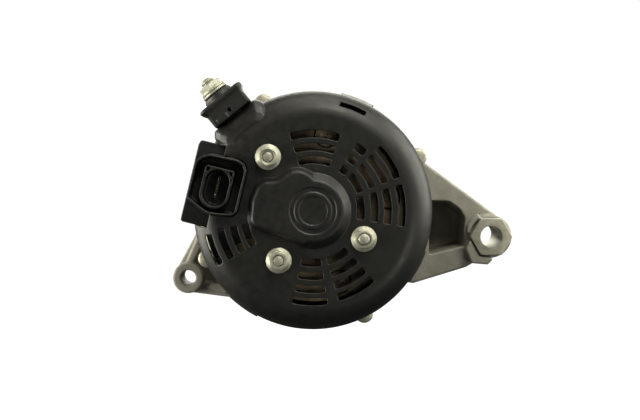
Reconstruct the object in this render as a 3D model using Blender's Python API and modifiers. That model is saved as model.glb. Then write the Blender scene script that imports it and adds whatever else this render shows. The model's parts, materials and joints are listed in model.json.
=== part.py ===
"""Car alternator: an internal-fan claw-pole machine with a plastic rear cover.

Every dimension below is in millimetres and is scaled to metres when an object is made.
The rotor axis is the world Y axis. The drive end (pulley) is at +Y, the rear cover at -Y,
and Y = 0 is the plane of both mounting ears' front faces. Angles are measured in the XZ
plane, counter-clockwise from +X as seen from the rear (looking along +Y).
"""

from math import cos, pi, radians, sin, sqrt

import bmesh
import bpy
from mathutils import Matrix, Vector

MM = 0.001
GAP = 0.3
TURN_STEPS = 28
HOUSING_STEPS = 36
WELD = 0.00001
FLAT_ANGLE = radians(0.5)
FACING_REAR = (pi / 2, 0, 0)

# Housings
STATOR_RADIUS = 62.5
STATOR_BORE = 50.4
STATOR_SLOTS = 18
STATOR_REAR = -54
STATOR_FRONT = -18
FRAME_RADIUS = 65.3
SEAT_RADIUS = STATOR_RADIUS + GAP
BOLT_CIRCLE = 65.8
BOLT_ANGLES = (26.5, 115, 205, 296)
BOLT_BOSS_RADIUS = 5.2
EAR_ROOT_RADIUS = 63.8
REAR_WALL = -76
REAR_LIP = -46
FRONT_LIP = -26
FRONT_WALL = 12

# Rear cover
COVER_RADIUS = 64.8
COVER_WALL = 2.2
COVER_FACE = -100
COVER_BOSS_FACE = -104
COVER_RIM = -74
SHOULDER_RADIUS = 14
BULGE_REACH = 67.0
KEYHOLE_RADIUS = 20.2
STUD_CENTRES = ((-24.0, 28.8), (-18.3, -26.5), (27.2, -15.0))
SLOT_WIDTH = 4.0
SLOT_SECTORS = (
    (-10, 16.6, (25.7, 33.2, 40.2, 47.7)),
    (21.4, 44, (27.3, 34.3, 41.3, 48.2)),
    (48, 57, (27.3, 34.3, 41.3)),
    (70, 107, (27.3, 34.3, 41.3)),
    (191, 210, (37.0, 43.5, 50.5)),
    (257, 279, (27.9, 35.0, 42.0, 48.7)),
    (286, 311, (27.9, 34.8, 41.8, 48.2)),
)
BUMP_ANGLES = (68, -28, 234)

# Regulator and its connector, in the frame of this radial direction
CONNECTOR_ANGLE = 166.3
SOCKET_U = 53.15
TERMINAL_ANGLE = 129.6
TERMINAL_Y = -87.2

# Mounting ears
PIVOT_HOLE = (101.2, -15.7)
PIVOT_BOSS_RADIUS = 12.2
PIVOT_BORE = 6.2
PIVOT_BUSH_RADIUS = 8.2
PIVOT_EAR_REAR = -49
PIVOT_BUSH_REAR = -54
PIVOT_HEX_FLATS = 20.8
ADJUST_HOLE = (-72.7, -40.5)
ADJUST_BOSS_RADIUS = 9
ADJUST_BORE = 4.4
ADJUST_EAR_REAR = -31

# Rotor
POLE_REAR = -62
POLE_FRONT = -10
CLAW_RADIUS = 48.6
CLAW_COUNT = 6
SHAFT_REAR = -99
SHAFT_FRONT = 58
SLIP_RING_RADIUS = 7.4
RING_Y = {"rear": -95.05, "front": -87.55}
BRUSH_END = 18.6
BRUSH_HOLDER_END = 31
PULLEY_RADIUS = 28
PULLEY_REAR = 17
PULLEY_FRONT = 46


def fresh_collection(name):
    collection = bpy.data.collections.new(name)
    bpy.context.scene.collection.children.link(collection)
    return collection


for leftover in list(bpy.data.objects):
    bpy.data.objects.remove(leftover)
PARTS = fresh_collection("car_alternator")
CUTTERS = fresh_collection("cutters")


def material(name, colour, roughness, metallic):
    made = bpy.data.materials.new(name)
    made.use_nodes = True
    shader = made.node_tree.nodes["Principled BSDF"]
    shader.inputs["Base Color"].default_value = (*colour, 1)
    shader.inputs["Roughness"].default_value = roughness
    shader.inputs["Metallic"].default_value = metallic
    return made


CAST = material("cast_aluminium", (0.22, 0.215, 0.18), 0.6, 0.7)
FIN = material("rectifier_aluminium", (0.36, 0.32, 0.25), 0.5, 0.8)
STEEL = material("bearing_steel", (0.42, 0.42, 0.43), 0.25, 1.0)
ZINC = material("zinc_plate", (0.46, 0.46, 0.41), 0.35, 1.0)
IRON = material("lacquered_iron", (0.10, 0.09, 0.085), 0.5, 0.6)
LAMINATION = material("lamination_steel", (0.16, 0.15, 0.14), 0.5, 0.8)
COPPER = material("enamelled_copper", (0.45, 0.15, 0.05), 0.35, 0.9)
BRONZE = material("slip_ring_copper", (0.55, 0.27, 0.14), 0.25, 1.0)
BLACK = material("black_plastic", (0.012, 0.012, 0.010), 0.5, 0.0)
DARK = material("dark_plastic", (0.006, 0.006, 0.005), 0.45, 0.0)
NYLON = material("bobbin_nylon", (0.35, 0.30, 0.20), 0.5, 0.0)
CARBON = material("brush_carbon", (0.03, 0.03, 0.03), 0.6, 0.1)
TIN = material("tinned_terminal", (0.6, 0.58, 0.52), 0.3, 1.0)


def add(name, mesh, finish=None, rotation=(0, 0, 0), location=(0, 0, 0)):
    """Links a mesh as a part, or as a cutter when it has no finish."""
    made = bpy.data.objects.new(name, mesh)
    made.rotation_euler = rotation
    made.location = Vector(location) * MM
    if finish:
        PARTS.objects.link(made)
        mesh.materials.append(finish)
    else:
        CUTTERS.objects.link(made)
        made.hide_render = True
        made.display_type = "WIRE"
    return made


def combine(target, tool, operation):
    modifier = target.modifiers.new(operation.lower(), "BOOLEAN")
    modifier.operation = operation
    modifier.solver = "EXACT"
    modifier.object = tool
    return target


def cut(target, *tools):
    for tool in tools:
        combine(target, tool, "DIFFERENCE")
    return target


def join(target, *tools):
    for tool in tools:
        combine(target, tool, "UNION")
    return target


def join_flat_faces(made):
    """Dissolves the edges between coplanar faces."""
    flatten = made.modifiers.new("flatten", "DECIMATE")
    flatten.decimate_type = "DISSOLVE"
    flatten.angle_limit = FLAT_ANGLE


def turned(name, profile, finish=None, steps=TURN_STEPS):
    """Solid of revolution about the rotor axis, from (radius, y) points in either order."""
    following = profile[1:] + profile[:1]
    heading = sum(a[0] * b[1] - b[0] * a[1] for a, b in zip(profile, following))
    points = profile if heading > 0 else profile[::-1]
    last = len(points) if points[0][0] > 0 else len(points) - 1
    edges = [(i, (i + 1) % len(points)) for i in range(last)]
    mesh = bpy.data.meshes.new(name)
    mesh.from_pydata([(r * MM, 0, -y * MM) for r, y in points], edges, [])
    made = add(name, mesh, finish, FACING_REAR)
    screw = made.modifiers.new("turn", "SCREW")
    screw.axis = "Z"
    screw.steps = steps
    screw.render_steps = steps
    screw.use_merge_vertices = True
    screw.merge_threshold = WELD
    join_flat_faces(made)
    return made


def ring(name, inner, outer, rear, front, finish=None, steps=TURN_STEPS):
    return turned(name, [(inner, rear), (outer, rear), (outer, front), (inner, front)], finish, steps)


def arc(radius, first, last, count, centre=(0, 0)):
    """Points along an arc, its angles in degrees."""
    angles = [radians(first + (last - first) * i / count) for i in range(count + 1)]
    return [(centre[0] + radius * cos(a), centre[1] + radius * sin(a)) for a in angles]


def circle(radius, centre=(0, 0), count=24):
    return arc(radius, 0, 360, count, centre)[:-1]


def sector(inner, outer, first, last, count=3):
    return arc(outer, first, last, count) + arc(inner, last, first, count)


def polygon(flats, sides=6, turn=0, centre=(0, 0)):
    """A nut's outline from its width across flats."""
    corner = flats / 2 / cos(pi / sides)
    return arc(corner, turn, turn + 360, sides, centre)[:-1]


def plate(name, outlines, rear, front, finish=None):
    """Flat shape: closed (x, z) outlines, an outline inside another being a hole."""
    curve = bpy.data.curves.new(name, "CURVE")
    curve.dimensions = "2D"
    curve.fill_mode = "BOTH"
    curve.extrude = (front - rear) / 2 * MM
    for outline in outlines:
        spline = curve.splines.new("POLY")
        spline.points.add(len(outline) - 1)
        for point, (x, z) in zip(spline.points, outline):
            point.co = (x * MM, z * MM, 0, 1)
        spline.use_cyclic_u = True
    guide = bpy.data.objects.new(name + "_curve", curve)
    CUTTERS.objects.link(guide)
    mesh = welded_mesh(guide, name)
    return add(name, mesh, finish, FACING_REAR, (0, (rear + front) / 2, 0))


def welded_mesh(curve_object, name):
    """Turns a curve object into a closed mesh and removes the curve."""
    graph = bpy.context.evaluated_depsgraph_get()
    mesh = bpy.data.meshes.new_from_object(curve_object.evaluated_get(graph))
    mesh.name = name
    mesh.materials.clear()
    shape = bmesh.new()
    shape.from_mesh(mesh)
    bmesh.ops.remove_doubles(shape, verts=shape.verts, dist=WELD)
    bmesh.ops.recalc_face_normals(shape, faces=shape.faces)
    shape.to_mesh(mesh)
    shape.free()
    bpy.data.objects.remove(curve_object)
    return mesh


def solid(name, build, finish=None):
    """Runs build(bmesh) and links what it made."""
    shape = bmesh.new()
    build(shape)
    bmesh.ops.recalc_face_normals(shape, faces=shape.faces)
    mesh = bpy.data.meshes.new(name)
    shape.to_mesh(mesh)
    shape.free()
    return add(name, mesh, finish)


def radial_frame(angle):
    """Local X runs outward at this angle, local Y along the rotor axis, local Z sideways."""
    return Matrix.Rotation(-radians(angle), 4, "Y")


def add_block(shape, angle, low, high):
    """A box between two corners in the radial frame of an angle."""
    size = [(b - a) * MM for a, b in zip(low, high)]
    middle = Vector([(a + b) / 2 * MM for a, b in zip(low, high)])
    scale = Matrix.Diagonal((*size, 1))
    bmesh.ops.create_cube(shape, size=1, matrix=radial_frame(angle) @ Matrix.Translation(middle) @ scale)


def blocks(name, boxes, finish=None):
    """Separate boxes, each (angle, low corner, high corner)."""

    def build(shape):
        for box in boxes:
            add_block(shape, *box)

    return solid(name, build, finish)


def add_rod(shape, radius, start, end, sides, tip_radius=None):
    start, end = Vector(start) * MM, Vector(end) * MM
    direction = end - start
    turn = direction.to_track_quat("Z", "Y").to_matrix().to_4x4()
    bmesh.ops.create_cone(
        shape,
        cap_ends=True,
        segments=sides,
        radius1=radius * MM,
        radius2=(radius if tip_radius is None else tip_radius) * MM,
        depth=direction.length,
        matrix=Matrix.Translation((start + end) / 2) @ turn,
    )


def rods(name, radius, centres, rear, front, finish=None, sides=16):
    """Equal cylinders parallel to the rotor axis."""

    def build(shape):
        for x, z in centres:
            add_rod(shape, radius, (x, rear, z), (x, front, z), sides)

    return solid(name, build, finish)


def radial_rod(name, radius, inner, outer, angle, y, finish=None, sides=20):
    """A cylinder along a radial direction, at one height on the rotor axis."""
    direction = Vector((cos(radians(angle)), 0, sin(radians(angle))))
    height = Vector((0, y, 0))

    def build(shape):
        add_rod(shape, radius, direction * inner + height, direction * outer + height, sides)

    return solid(name, build, finish)


def on_circle(radius, angles):
    return [(radius * cos(radians(a)), radius * sin(radians(a))) for a in angles]


def turned_point(u, t):
    """A point of the connector's frame as (x, z)."""
    a = radians(CONNECTOR_ANGLE)
    return (u * cos(a) - t * sin(a), u * sin(a) + t * cos(a))


def keyhole():
    """Outline of the cover's central boss: a disc with a shoulder and a neck towards the connector."""
    return [
        *arc(KEYHOLE_RADIUS, -76, 66, 10),
        *arc(9, 78, 145, 3, (-8.5, 14.6)),
        (-18, 18.2),
        (-21, 16.7),
        (-29.3, 16.7),
        (-33.8, 5.9),
        (-34.8, -8.4),
        (-14, -15.2),
    ]


def cover_profile(radius, face, rim, corner):
    """Half outline of the domed cover from its centre to its rim."""
    centre = radius - corner
    shoulder = [
        (centre + corner * sin(radians(a)), face + corner * (1 - cos(radians(a))))
        for a in range(0, 91, 30)
    ]
    return [(0, face), *shoulder, (radius, rim)]


def terminal_bulge():
    """The swelling of the cover that carries the output terminal, narrower towards the face."""
    frame = radial_frame(TERMINAL_ANGLE)

    def build(shape):
        rings = []
        for y, root, reach, half in (
            (COVER_RIM, 61.2, BULGE_REACH, 16.4),
            (-84, 61.2, BULGE_REACH, 16.4),
            (-91, 58, 65, 15),
            (-96, 55, 59, 11),
        ):
            outline = [(root, -half), (reach - 3, -half), (reach, 3 - half)]
            outline += [(u, -t) for u, t in reversed(outline)]
            rings.append([shape.verts.new(frame @ (Vector((u, y, t)) * MM)) for u, t in outline])
        for below, above in zip(rings, rings[1:]):
            for i in range(len(below)):
                shape.faces.new((below[i - 1], below[i], above[i], above[i - 1]))
        shape.faces.new(rings[0])
        shape.faces.new(rings[-1][::-1])
        bmesh.ops.recalc_face_normals(shape, faces=shape.faces)

    return solid("terminal_bulge", build)


def make_rear_cover():
    outside = cover_profile(COVER_RADIUS, COVER_FACE, COVER_RIM, SHOULDER_RADIUS)
    inside = cover_profile(
        COVER_RADIUS - COVER_WALL,
        COVER_FACE + COVER_WALL,
        COVER_RIM,
        SHOULDER_RADIUS - COVER_WALL,
    )
    cover = turned("rear_cover", outside + inside[::-1], BLACK, HOUSING_STEPS)
    boss = plate("cover_boss", [keyhole()], COVER_BOSS_FACE, COVER_FACE + 1.2)
    ring_room = turned(
        "ring_room",
        [(0, COVER_BOSS_FACE + 2), (17.8, COVER_BOSS_FACE + 2), (17.8, COVER_FACE + 4), (0, COVER_FACE + 4)],
    )
    holder_room = blocks(
        "holder_room", [(CONNECTOR_ANGLE, (5, COVER_BOSS_FACE + 2, -7.3), (BRUSH_HOLDER_END + 0.7, -94, 7.3))]
    )
    tubes = rods("cover_tubes", 4.75, STUD_CENTRES, COVER_FACE + 1, -84.9, sides=12)
    stud_holes = rods("cover_stud_holes", 3.4, STUD_CENTRES, COVER_FACE - 6, -83, sides=12)
    slots = []
    for first, last, radii in SLOT_SECTORS:
        slots += [sector(r - SLOT_WIDTH / 2, r + SLOT_WIDTH / 2, first, last) for r in radii]
    slots.append(sector(55.6, 59.4, 193, 210))
    slots += [sector(58.4, 60.6, a - 8, a + 8) for a in BUMP_ANGLES]
    slot_cutter = plate("cover_slots", slots, COVER_FACE - 2, -88)
    bumps = plate(
        "cover_bumps",
        [sector(63.4, 65.9, a - 8, a + 8) for a in BUMP_ANGLES],
        -87,
        COVER_RIM - 0.5,
    )
    connector_opening = blocks("connector_opening", [(CONNECTOR_ANGLE, (38.8, -110, -17.5), (70, -81, 15.5))])
    flange_opening = blocks("flange_opening", [(CONNECTOR_ANGLE, (51.4, -110, -23.2), (72, -82, 23.2))])
    bulge_room = blocks("bulge_room", [(TERMINAL_ANGLE, (48, -84, -14.2), (64.4, COVER_RIM + 1, 14.2))])
    terminal_opening = blocks("terminal_opening", [(TERMINAL_ANGLE, (53.5, -92.8, -5.5), (72, -70, 5.5))])
    roundel = ring("cover_roundel", 0.5, 8, COVER_BOSS_FACE - 1, COVER_BOSS_FACE + 0.6, steps=24)
    join(cover, boss, bumps, terminal_bulge())
    cut(cover, ring_room, holder_room, bulge_room)
    join(cover, tubes)
    cut(cover, stud_holes, slot_cutter, connector_opening, flange_opening, terminal_opening, roundel)
    join_flat_faces(cover)


def make_cover_fasteners():
    for number, centre in enumerate(STUD_CENTRES, 1):
        stud = plate(f"cover_stud_{number}", [circle(3, centre, 10)], -107.2, -71, ZINC)
        stud.data.shade_smooth()
        face = COVER_FACE - GAP
        nut = plate(
            f"cover_nut_{number}",
            [polygon(10, 6, 20 * number, centre), circle(3.4, centre, 10)],
            face - 5.6,
            face - 1,
            ZINC,
        )
        flange = plate(
            f"nut_flange_{number}",
            [circle(6.9, centre, 16), circle(3.4, centre, 10)],
            face - 1.4,
            face,
        )
        join(nut, flange)


def make_rear_end_frame():
    profile = [
        (21.5, -80.6),
        (21.5, REAR_WALL),
        (60.5, REAR_WALL),
        (60.5, -63),
        (FRAME_RADIUS, -57.5),
        (FRAME_RADIUS, REAR_LIP),
        (SEAT_RADIUS, REAR_LIP),
        (SEAT_RADIUS, STATOR_REAR - GAP),
        (58.8, STATOR_REAR - GAP),
        (58.8, -72.5),
        (21.5, -72.5),
        (21.5, -67.6),
        (17.8, -67.6),
        (17.8, -80.6),
    ]
    frame = turned("rear_end_frame", profile, CAST, HOUSING_STEPS)
    pillars = rods("pillars", 5.6, STUD_CENTRES, -81.8, REAR_WALL + 1, sides=12)
    bolt_centres = on_circle(BOLT_CIRCLE, BOLT_ANGLES)
    bosses = rods("rear_bosses", BOLT_BOSS_RADIUS, bolt_centres, -57.9, REAR_LIP - 0.4, sides=12)
    stud_holes = rods("stud_holes", 3.3, STUD_CENTRES, -90, -70, sides=10)
    bolt_holes = rods("rear_bolt_holes", 2.8, bolt_centres, -60, -44, sides=8)
    head_seats = rods("head_seats", 5.25, bolt_centres, -75, -58, sides=12)
    seat = ring("stator_seat", 40, SEAT_RADIUS + 0.1, STATOR_REAR - GAP - 0.1, -40, steps=HOUSING_STEPS)
    inlets = plate(
        "rear_inlets",
        [sector(26, 31, a - 15, a + 15, 2) for a in (15, 90, 280)]
        + [sector(43, 55, a - 16, a + 16, 2) for a in (10, 55, 100, 260, 305)],
        -78,
        -70,
    )
    outlets = blocks(
        "rear_outlets", [(a, (55, -71.5, -7), (70, -61, 7)) for a in (5, 50, 90, 160, 230, 270, 320)]
    )
    join(frame, pillars, bosses)
    cut(frame, seat, stud_holes, head_seats, bolt_holes, inlets, outlets)
    join_flat_faces(frame)


def pivot_arm_outline():
    """The right arm, from the bracket's barrel to the tangents of the pivot boss."""
    return [
        *arc(EAR_ROOT_RADIUS, -41, 35, 8),
        (66.2, 25.3),
        *arc(PIVOT_BOSS_RADIUS, 56, -100, 12, PIVOT_HOLE),
        (88.4, -33.9),
        (58, -43.2),
    ]


def arm_pocket_outline():
    return [(70, 4.5), (78.8, 4.2), (84, 0), (87, -5), (86.6, -20.8), (84, -23), (69.5, -26), (69.5, -10)]


def anti_turn_lug_outline():
    """A hooked rib that two of the bush's flats bear on."""
    return [
        (88.9, -18),
        (87, -23),
        (90, -30.8),
        (99.5, -31.6),
        (102.2, -28.8),
        (101.6, -27.2),
        (94.6, -26.7),
        (90.9, -19.5),
        (90.4, -18.2),
    ]


def adjusting_ear_outline():
    return [
        *arc(EAR_ROOT_RADIUS, 230, 188, 4),
        (-66.4, -10.5),
        *arc(ADJUST_BOSS_RADIUS, 163, 272, 8, ADJUST_HOLE),
        (-46.8, -52.8),
    ]


def make_drive_end_bracket():
    profile = [
        (FRAME_RADIUS, FRONT_LIP),
        (FRAME_RADIUS, -6),
        (61, 8),
        (57, FRONT_WALL),
        (31, FRONT_WALL),
        (30, 15.8),
        (20, 15.8),
        (20, 14.3),
        (23.8, 14.3),
        (23.8, -0.8),
        (31.5, -0.8),
        (31.5, 8),
        (56, 8),
        (60.2, -2),
        (60.2, STATOR_FRONT + GAP),
        (SEAT_RADIUS, STATOR_FRONT + GAP),
        (SEAT_RADIUS, FRONT_LIP),
    ]
    bracket = turned("drive_end_bracket", profile, CAST, HOUSING_STEPS)
    bolt_centres = on_circle(BOLT_CIRCLE, BOLT_ANGLES)
    bosses = rods("front_bosses", BOLT_BOSS_RADIUS, bolt_centres, FRONT_LIP + 0.4, -4, sides=12)
    arm = plate("pivot_arm", [pivot_arm_outline()], -38, -0.6)
    pivot_boss = plate("pivot_boss", [circle(PIVOT_BOSS_RADIUS, PIVOT_HOLE, 24)], PIVOT_EAR_REAR, 0)
    lug = plate("anti_turn_lug", [anti_turn_lug_outline()], -52.5, -30)
    ear = plate("adjusting_ear", [adjusting_ear_outline()], -22, -3)
    ear_boss = plate("adjusting_boss", [circle(ADJUST_BOSS_RADIUS, ADJUST_HOLE, 18)], ADJUST_EAR_REAR, 0)
    seat = ring("front_seat", 40, SEAT_RADIUS + 0.1, -60, STATOR_FRONT + GAP + 0.1, steps=HOUSING_STEPS)
    pocket = plate("arm_pocket", [arm_pocket_outline()], -60, -7)
    pivot_hole = rods("pivot_hole", PIVOT_BUSH_RADIUS + GAP, [PIVOT_HOLE], -60, 6, sides=20)
    ear_hole = rods("ear_hole", ADJUST_BORE, [ADJUST_HOLE], -60, 6, sides=16)
    bolt_holes = rods("front_bolt_holes", 2.8, bolt_centres, -60, -5.5, sides=8)
    screw_holes = rods("retainer_screw_holes", 2.3, on_circle(27.6, (90, 210, 330)), -5, 6.5, sides=8)
    inlets = plate("front_inlets", [sector(36, 53, a - 20, a + 20, 3) for a in range(0, 360, 60)], 5, 18)
    outlets = blocks(
        "front_outlets",
        [(a, (54, -8, -5.5), (75, 3, 5.5)) for a in (50, 80, 138, 165, 258, 320)],
    )
    join(bracket, bosses, arm, pivot_boss, ear, ear_boss, lug)
    cut(bracket, seat, pocket, pivot_hole, ear_hole, bolt_holes, screw_holes)
    cut(bracket, inlets, outlets)
    join_flat_faces(bracket)


def make_pivot_bush():
    bore = circle(PIVOT_BORE, PIVOT_HOLE, 18)
    bush = plate(
        "pivot_bush", [circle(PIVOT_BUSH_RADIUS, PIVOT_HOLE, 18), bore], PIVOT_EAR_REAR - 1, -0.4, ZINC
    )
    head = plate(
        "bush_head",
        [polygon(PIVOT_HEX_FLATS, 6, 0, PIVOT_HOLE), bore],
        PIVOT_BUSH_REAR,
        PIVOT_EAR_REAR - GAP,
    )
    join(bush, head)


def make_through_bolts():
    for number, centre in enumerate(on_circle(BOLT_CIRCLE, BOLT_ANGLES), 1):
        bolt = plate(f"through_bolt_{number}", [circle(2.5, centre, 8)], -59, -7, ZINC)
        flange = plate(f"bolt_flange_{number}", [circle(4.9, centre, 12)], -59.6, -58.3)
        head = plate(f"bolt_head_{number}", [polygon(8, 6, 15 * number, centre)], -63.4, -59.3)
        join(bolt, flange, head)


def make_stator():
    pitch = 360 / STATOR_SLOTS
    bore = []
    for i in range(STATOR_SLOTS):
        bore += arc(STATOR_BORE, (i - 0.25) * pitch, (i + 0.25) * pitch, 1)
        bore += arc(56.5, (i + 0.25) * pitch, (i + 0.75) * pitch, 1)
    outline = circle(STATOR_RADIUS, (0, 0), HOUSING_STEPS)
    plate("stator_core", [outline, bore], STATOR_REAR, STATOR_FRONT, LAMINATION)
    rear = turned(
        "stator_winding",
        [(51.4, -56), (51.4, -68), (53, -69.5), (56.5, -69.5), (58, -67), (58, -56)],
        COPPER,
        24,
    )
    front = turned(
        "front_end_turns",
        [(51.4, -16), (51.4, -4.6), (53, -3.2), (56.5, -3.2), (58, -5.6), (58, -16)],
        steps=24,
    )
    conductors = blocks(
        "slot_conductors",
        [((i + 0.5) * pitch, (51.9, -57, -3), (56, -15, 3)) for i in range(STATOR_SLOTS)],
    )
    join(rear, conductors, front)
    join_flat_faces(rear)


def make_shaft():
    turned(
        "rotor_shaft",
        [
            (0, SHAFT_REAR),
            (4.8, SHAFT_REAR),
            (5, SHAFT_REAR + 0.5),
            (5, -82),
            (7.2, -81.4),
            (7.2, -66.5),
            (8.8, -65.5),
            (8.8, -1),
            (8.2, -0.4),
            (8.2, 33),
            (7.6, 33.6),
            (7.6, SHAFT_FRONT - 1),
            (6.6, SHAFT_FRONT),
            (0, SHAFT_FRONT),
        ],
        STEEL,
        18,
    )
    turned(
        "slip_ring_sleeve",
        [
            (5.3, -98.6),
            (6, -98.6),
            (6, RING_Y["rear"] + 3.3),
            (7, RING_Y["rear"] + 3.3),
            (7, RING_Y["front"] - 3.3),
            (6, RING_Y["front"] - 3.3),
            (6, -82.6),
            (5.3, -82.6),
        ],
        DARK,
        20,
    )
    for place, middle in RING_Y.items():
        ring(f"slip_ring_{place}", 6.35, SLIP_RING_RADIUS, middle - 2.8, middle + 2.8, BRONZE, 20)


def claw_boxes(shape, root, back, tip, turn):
    """Six tapered claws, from the pole's back face to their tips."""
    for i in range(CLAW_COUNT):
        frame = radial_frame(i * 60 + turn)
        made = bmesh.ops.create_cube(shape, size=1)["verts"]
        for corner in made:
            at_tip = corner.co.y > 0
            across = (4.4 if at_tip else 10.6) * (1 if corner.co.z > 0 else -1)
            inner = 45.2 if at_tip else root
            radius = CLAW_RADIUS if corner.co.x > 0 else inner
            corner.co = frame @ (Vector((radius, tip if at_tip else back, across)) * MM)


def make_claw_pole(name, back, inner_face, hub_end, tip, turn):
    """One pole piece: a hub with a disc and six claws that reach over the field coil."""
    direction = 1 if inner_face > back else -1
    pole = turned(
        name,
        [(9.1, back), (33, back), (33, inner_face), (18, inner_face), (18, hub_end), (9.1, hub_end)],
        IRON,
        24,
    )
    ends = sorted((back + 0.3 * direction, inner_face - direction))
    lobes = blocks(
        f"{name}_lobes",
        [(i * 60 + turn, (26, ends[0], -10.3), (47.8, ends[1], 10.3)) for i in range(CLAW_COUNT)],
    )
    claws = solid(f"{name}_claws", lambda shape: claw_boxes(shape, 41.5, back + direction, tip, turn))
    join(pole, lobes, claws)
    join_flat_faces(pole)


def make_rotor_body():
    make_claw_pole("rear_claw_pole", POLE_REAR, -50, -36.3, -14.5, 0)
    make_claw_pole("front_claw_pole", POLE_FRONT, -22, -35.7, -57.5, 30)
    turned(
        "coil_bobbin",
        [
            (18.4, -49.4),
            (40.2, -49.4),
            (40.2, -48.2),
            (19.6, -48.2),
            (19.6, -23.8),
            (40.2, -23.8),
            (40.2, -22.6),
            (18.4, -22.6),
        ],
        NYLON,
        24,
    )
    ring("field_coil", 20.1, 39.6, -47.9, -24.1, COPPER, 24)


def make_fan(name, disc_rear, disc_front, blade_rear, blade_front, blades, lean):
    """A pressed disc with blades that stand up along its rim."""
    fan = ring(name, 22, 44, disc_rear, disc_front, STEEL, 24)
    boxes = []
    for i in range(blades):
        middle = i * 360 / blades
        boxes.append((middle, (35, blade_rear, -0.7), (48, blade_front, 0.7)))
    vanes = blocks(f"{name}_blades", boxes)
    for corner in vanes.data.vertices:
        x, z = corner.co.x / MM, corner.co.z / MM
        swing = lean * (sqrt(x * x + z * z) - 35) / 13
        turn = Matrix.Rotation(-radians(swing), 4, "Y")
        corner.co = turn @ corner.co
    return join(fan, vanes)


def make_fans():
    make_fan("rear_fan", POLE_REAR - 1.8, POLE_REAR - GAP, POLE_REAR - 7.4, POLE_REAR - 0.9, 8, 14)
    make_fan("front_fan", POLE_FRONT + GAP, POLE_FRONT + 1.8, POLE_FRONT + 0.9, POLE_FRONT + 8.6, 8, -14)


def make_bearing(name, bore, outer, rear, front, inner_land, outer_land, ball, balls):
    """A deep-groove bearing: two races, and the balls with their cage."""
    middle = (rear + front) / 2
    ring(f"{name}_inner_race", bore, inner_land, rear, front, STEEL)
    ring(f"{name}_outer_race", outer_land, outer, rear, front, STEEL, HOUSING_STEPS)
    track = (inner_land + outer_land) / 2
    cage = ring(f"{name}_balls", track - 0.8, track + 0.8, middle - ball * 0.8, middle + ball * 0.8, STEEL, 16)

    def build(shape):
        for x, z in on_circle(track, [i * 360 / balls + 4 for i in range(balls)]):
            place = Matrix.Translation(Vector((x, middle, z)) * MM)
            bmesh.ops.create_icosphere(shape, subdivisions=1, radius=ball * MM, matrix=place)

    join(cage, solid(f"{name}_ball_set", build))


def make_bearings():
    make_bearing("front_bearing", 8.5, 23.5, 0, 14, 12.6, 19.6, 3.2, 7)
    make_bearing("rear_bearing", 7.5, 17.5, -79.5, -68.5, 10.1, 15.1, 2.2, 7)
    outline = [circle(31, (0, 0), 28), circle(18.9, (0, 0), 20)]
    centres = on_circle(27.6, (90, 210, 330))
    holes = [circle(2.3, centre, 8) for centre in centres]
    plate("bearing_retainer", outline + holes, -2.7, -1.1, STEEL)
    for number, centre in enumerate(centres, 1):
        screw = plate(f"retainer_screw_{number}", [circle(2, centre, 8)], -4, 5.5, ZINC)
        head = plate(f"retainer_head_{number}", [circle(3.1, centre, 12)], -4.9, -3)
        join(screw, head)


def make_pulley():
    grooves = 5
    pitch = 3.56
    first = PULLEY_REAR + 5
    ribs = []
    for i in range(grooves):
        start = first + i * pitch
        ribs += [(PULLEY_RADIUS, start), (PULLEY_RADIUS - 2.9, start + pitch / 2)]
    ribs.append((PULLEY_RADIUS, first + grooves * pitch))
    profile = [
        (8.5, PULLEY_REAR),
        (16, PULLEY_REAR),
        (24, PULLEY_REAR + 1),
        (PULLEY_RADIUS + 1.6, PULLEY_REAR + 1),
        (PULLEY_RADIUS + 1.6, first - 1),
        *ribs,
        (PULLEY_RADIUS + 1.4, PULLEY_FRONT - 3.4),
        (PULLEY_RADIUS + 1.4, PULLEY_FRONT - 1),
        (PULLEY_RADIUS + 0.4, PULLEY_FRONT),
        (22, PULLEY_FRONT),
        (19, 36),
        (15, 34),
        (8.5, 34),
    ]
    turned("pulley", profile, STEEL)
    ring("pulley_spacer", 8.5, 12.2, 14.3, PULLEY_REAR - GAP, STEEL, 28)
    nut = plate("pulley_nut", [polygon(24), circle(8, (0, 0), 16)], 36, 47, ZINC)
    join(nut, plate("pulley_nut_flange", [circle(14.6), circle(8, (0, 0), 16)], 34 + GAP, 36.5))


DIODES = {
    "positive": (41, (10, 80, 290), -96, -88.5),
    "negative": (46, (45, 253, 325), -89.6, -80.4),
}


def make_rectifier():
    first, last = 204, 499.6
    for name, outer, rear, front, hole in (
        ("positive", 49, -94, -91.7, 5.3),
        ("negative", 54.4, -84.6, -82.1, 3.4),
    ):
        radius, angles, _, _ = DIODES[name]
        outline = sector(24, outer, first, last, 20)
        holes = [circle(hole, centre, 10) for centre in STUD_CENTRES]
        holes += [circle(6.75, centre, 12) for centre in on_circle(radius, angles)]
        fin = plate(f"rectifier_{name}_plate", [outline] + holes, rear, front, FIN)
        if name == "positive":
            tab = blocks("output_tab", [(TERMINAL_ANGLE, (46, -93.8, -5), (49.6, -81.8, 5))])
            join(fin, tab)
        else:
            cut(fin, blocks("output_notch", [(TERMINAL_ANGLE, (44.5, -90, -14), (60, -78, 16))]))
    for name, (radius, angles, rear, front) in DIODES.items():
        for number, centre in enumerate(on_circle(radius, angles), 1):
            body = plate(f"diode_{name}_{number}", [circle(6.35, centre, 12)], rear + 2, front, FIN)
            lead = plate(f"diode_lead_{name}_{number}", [circle(1, centre, 8)], rear, rear + 2.5)
            join(body, lead)
    block = plate(
        "rectifier_terminal_block", [sector(55.4, 59, 206, 468, 18)], -92.6, -80.4, DARK
    )
    fingers = blocks(
        "terminal_fingers", [(a, (51, -91.4, -1.6), (57, -88.4, 1.6)) for a in (25, 62, 95, 232, 272, 308, 345)]
    )
    join(block, fingers)


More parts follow.
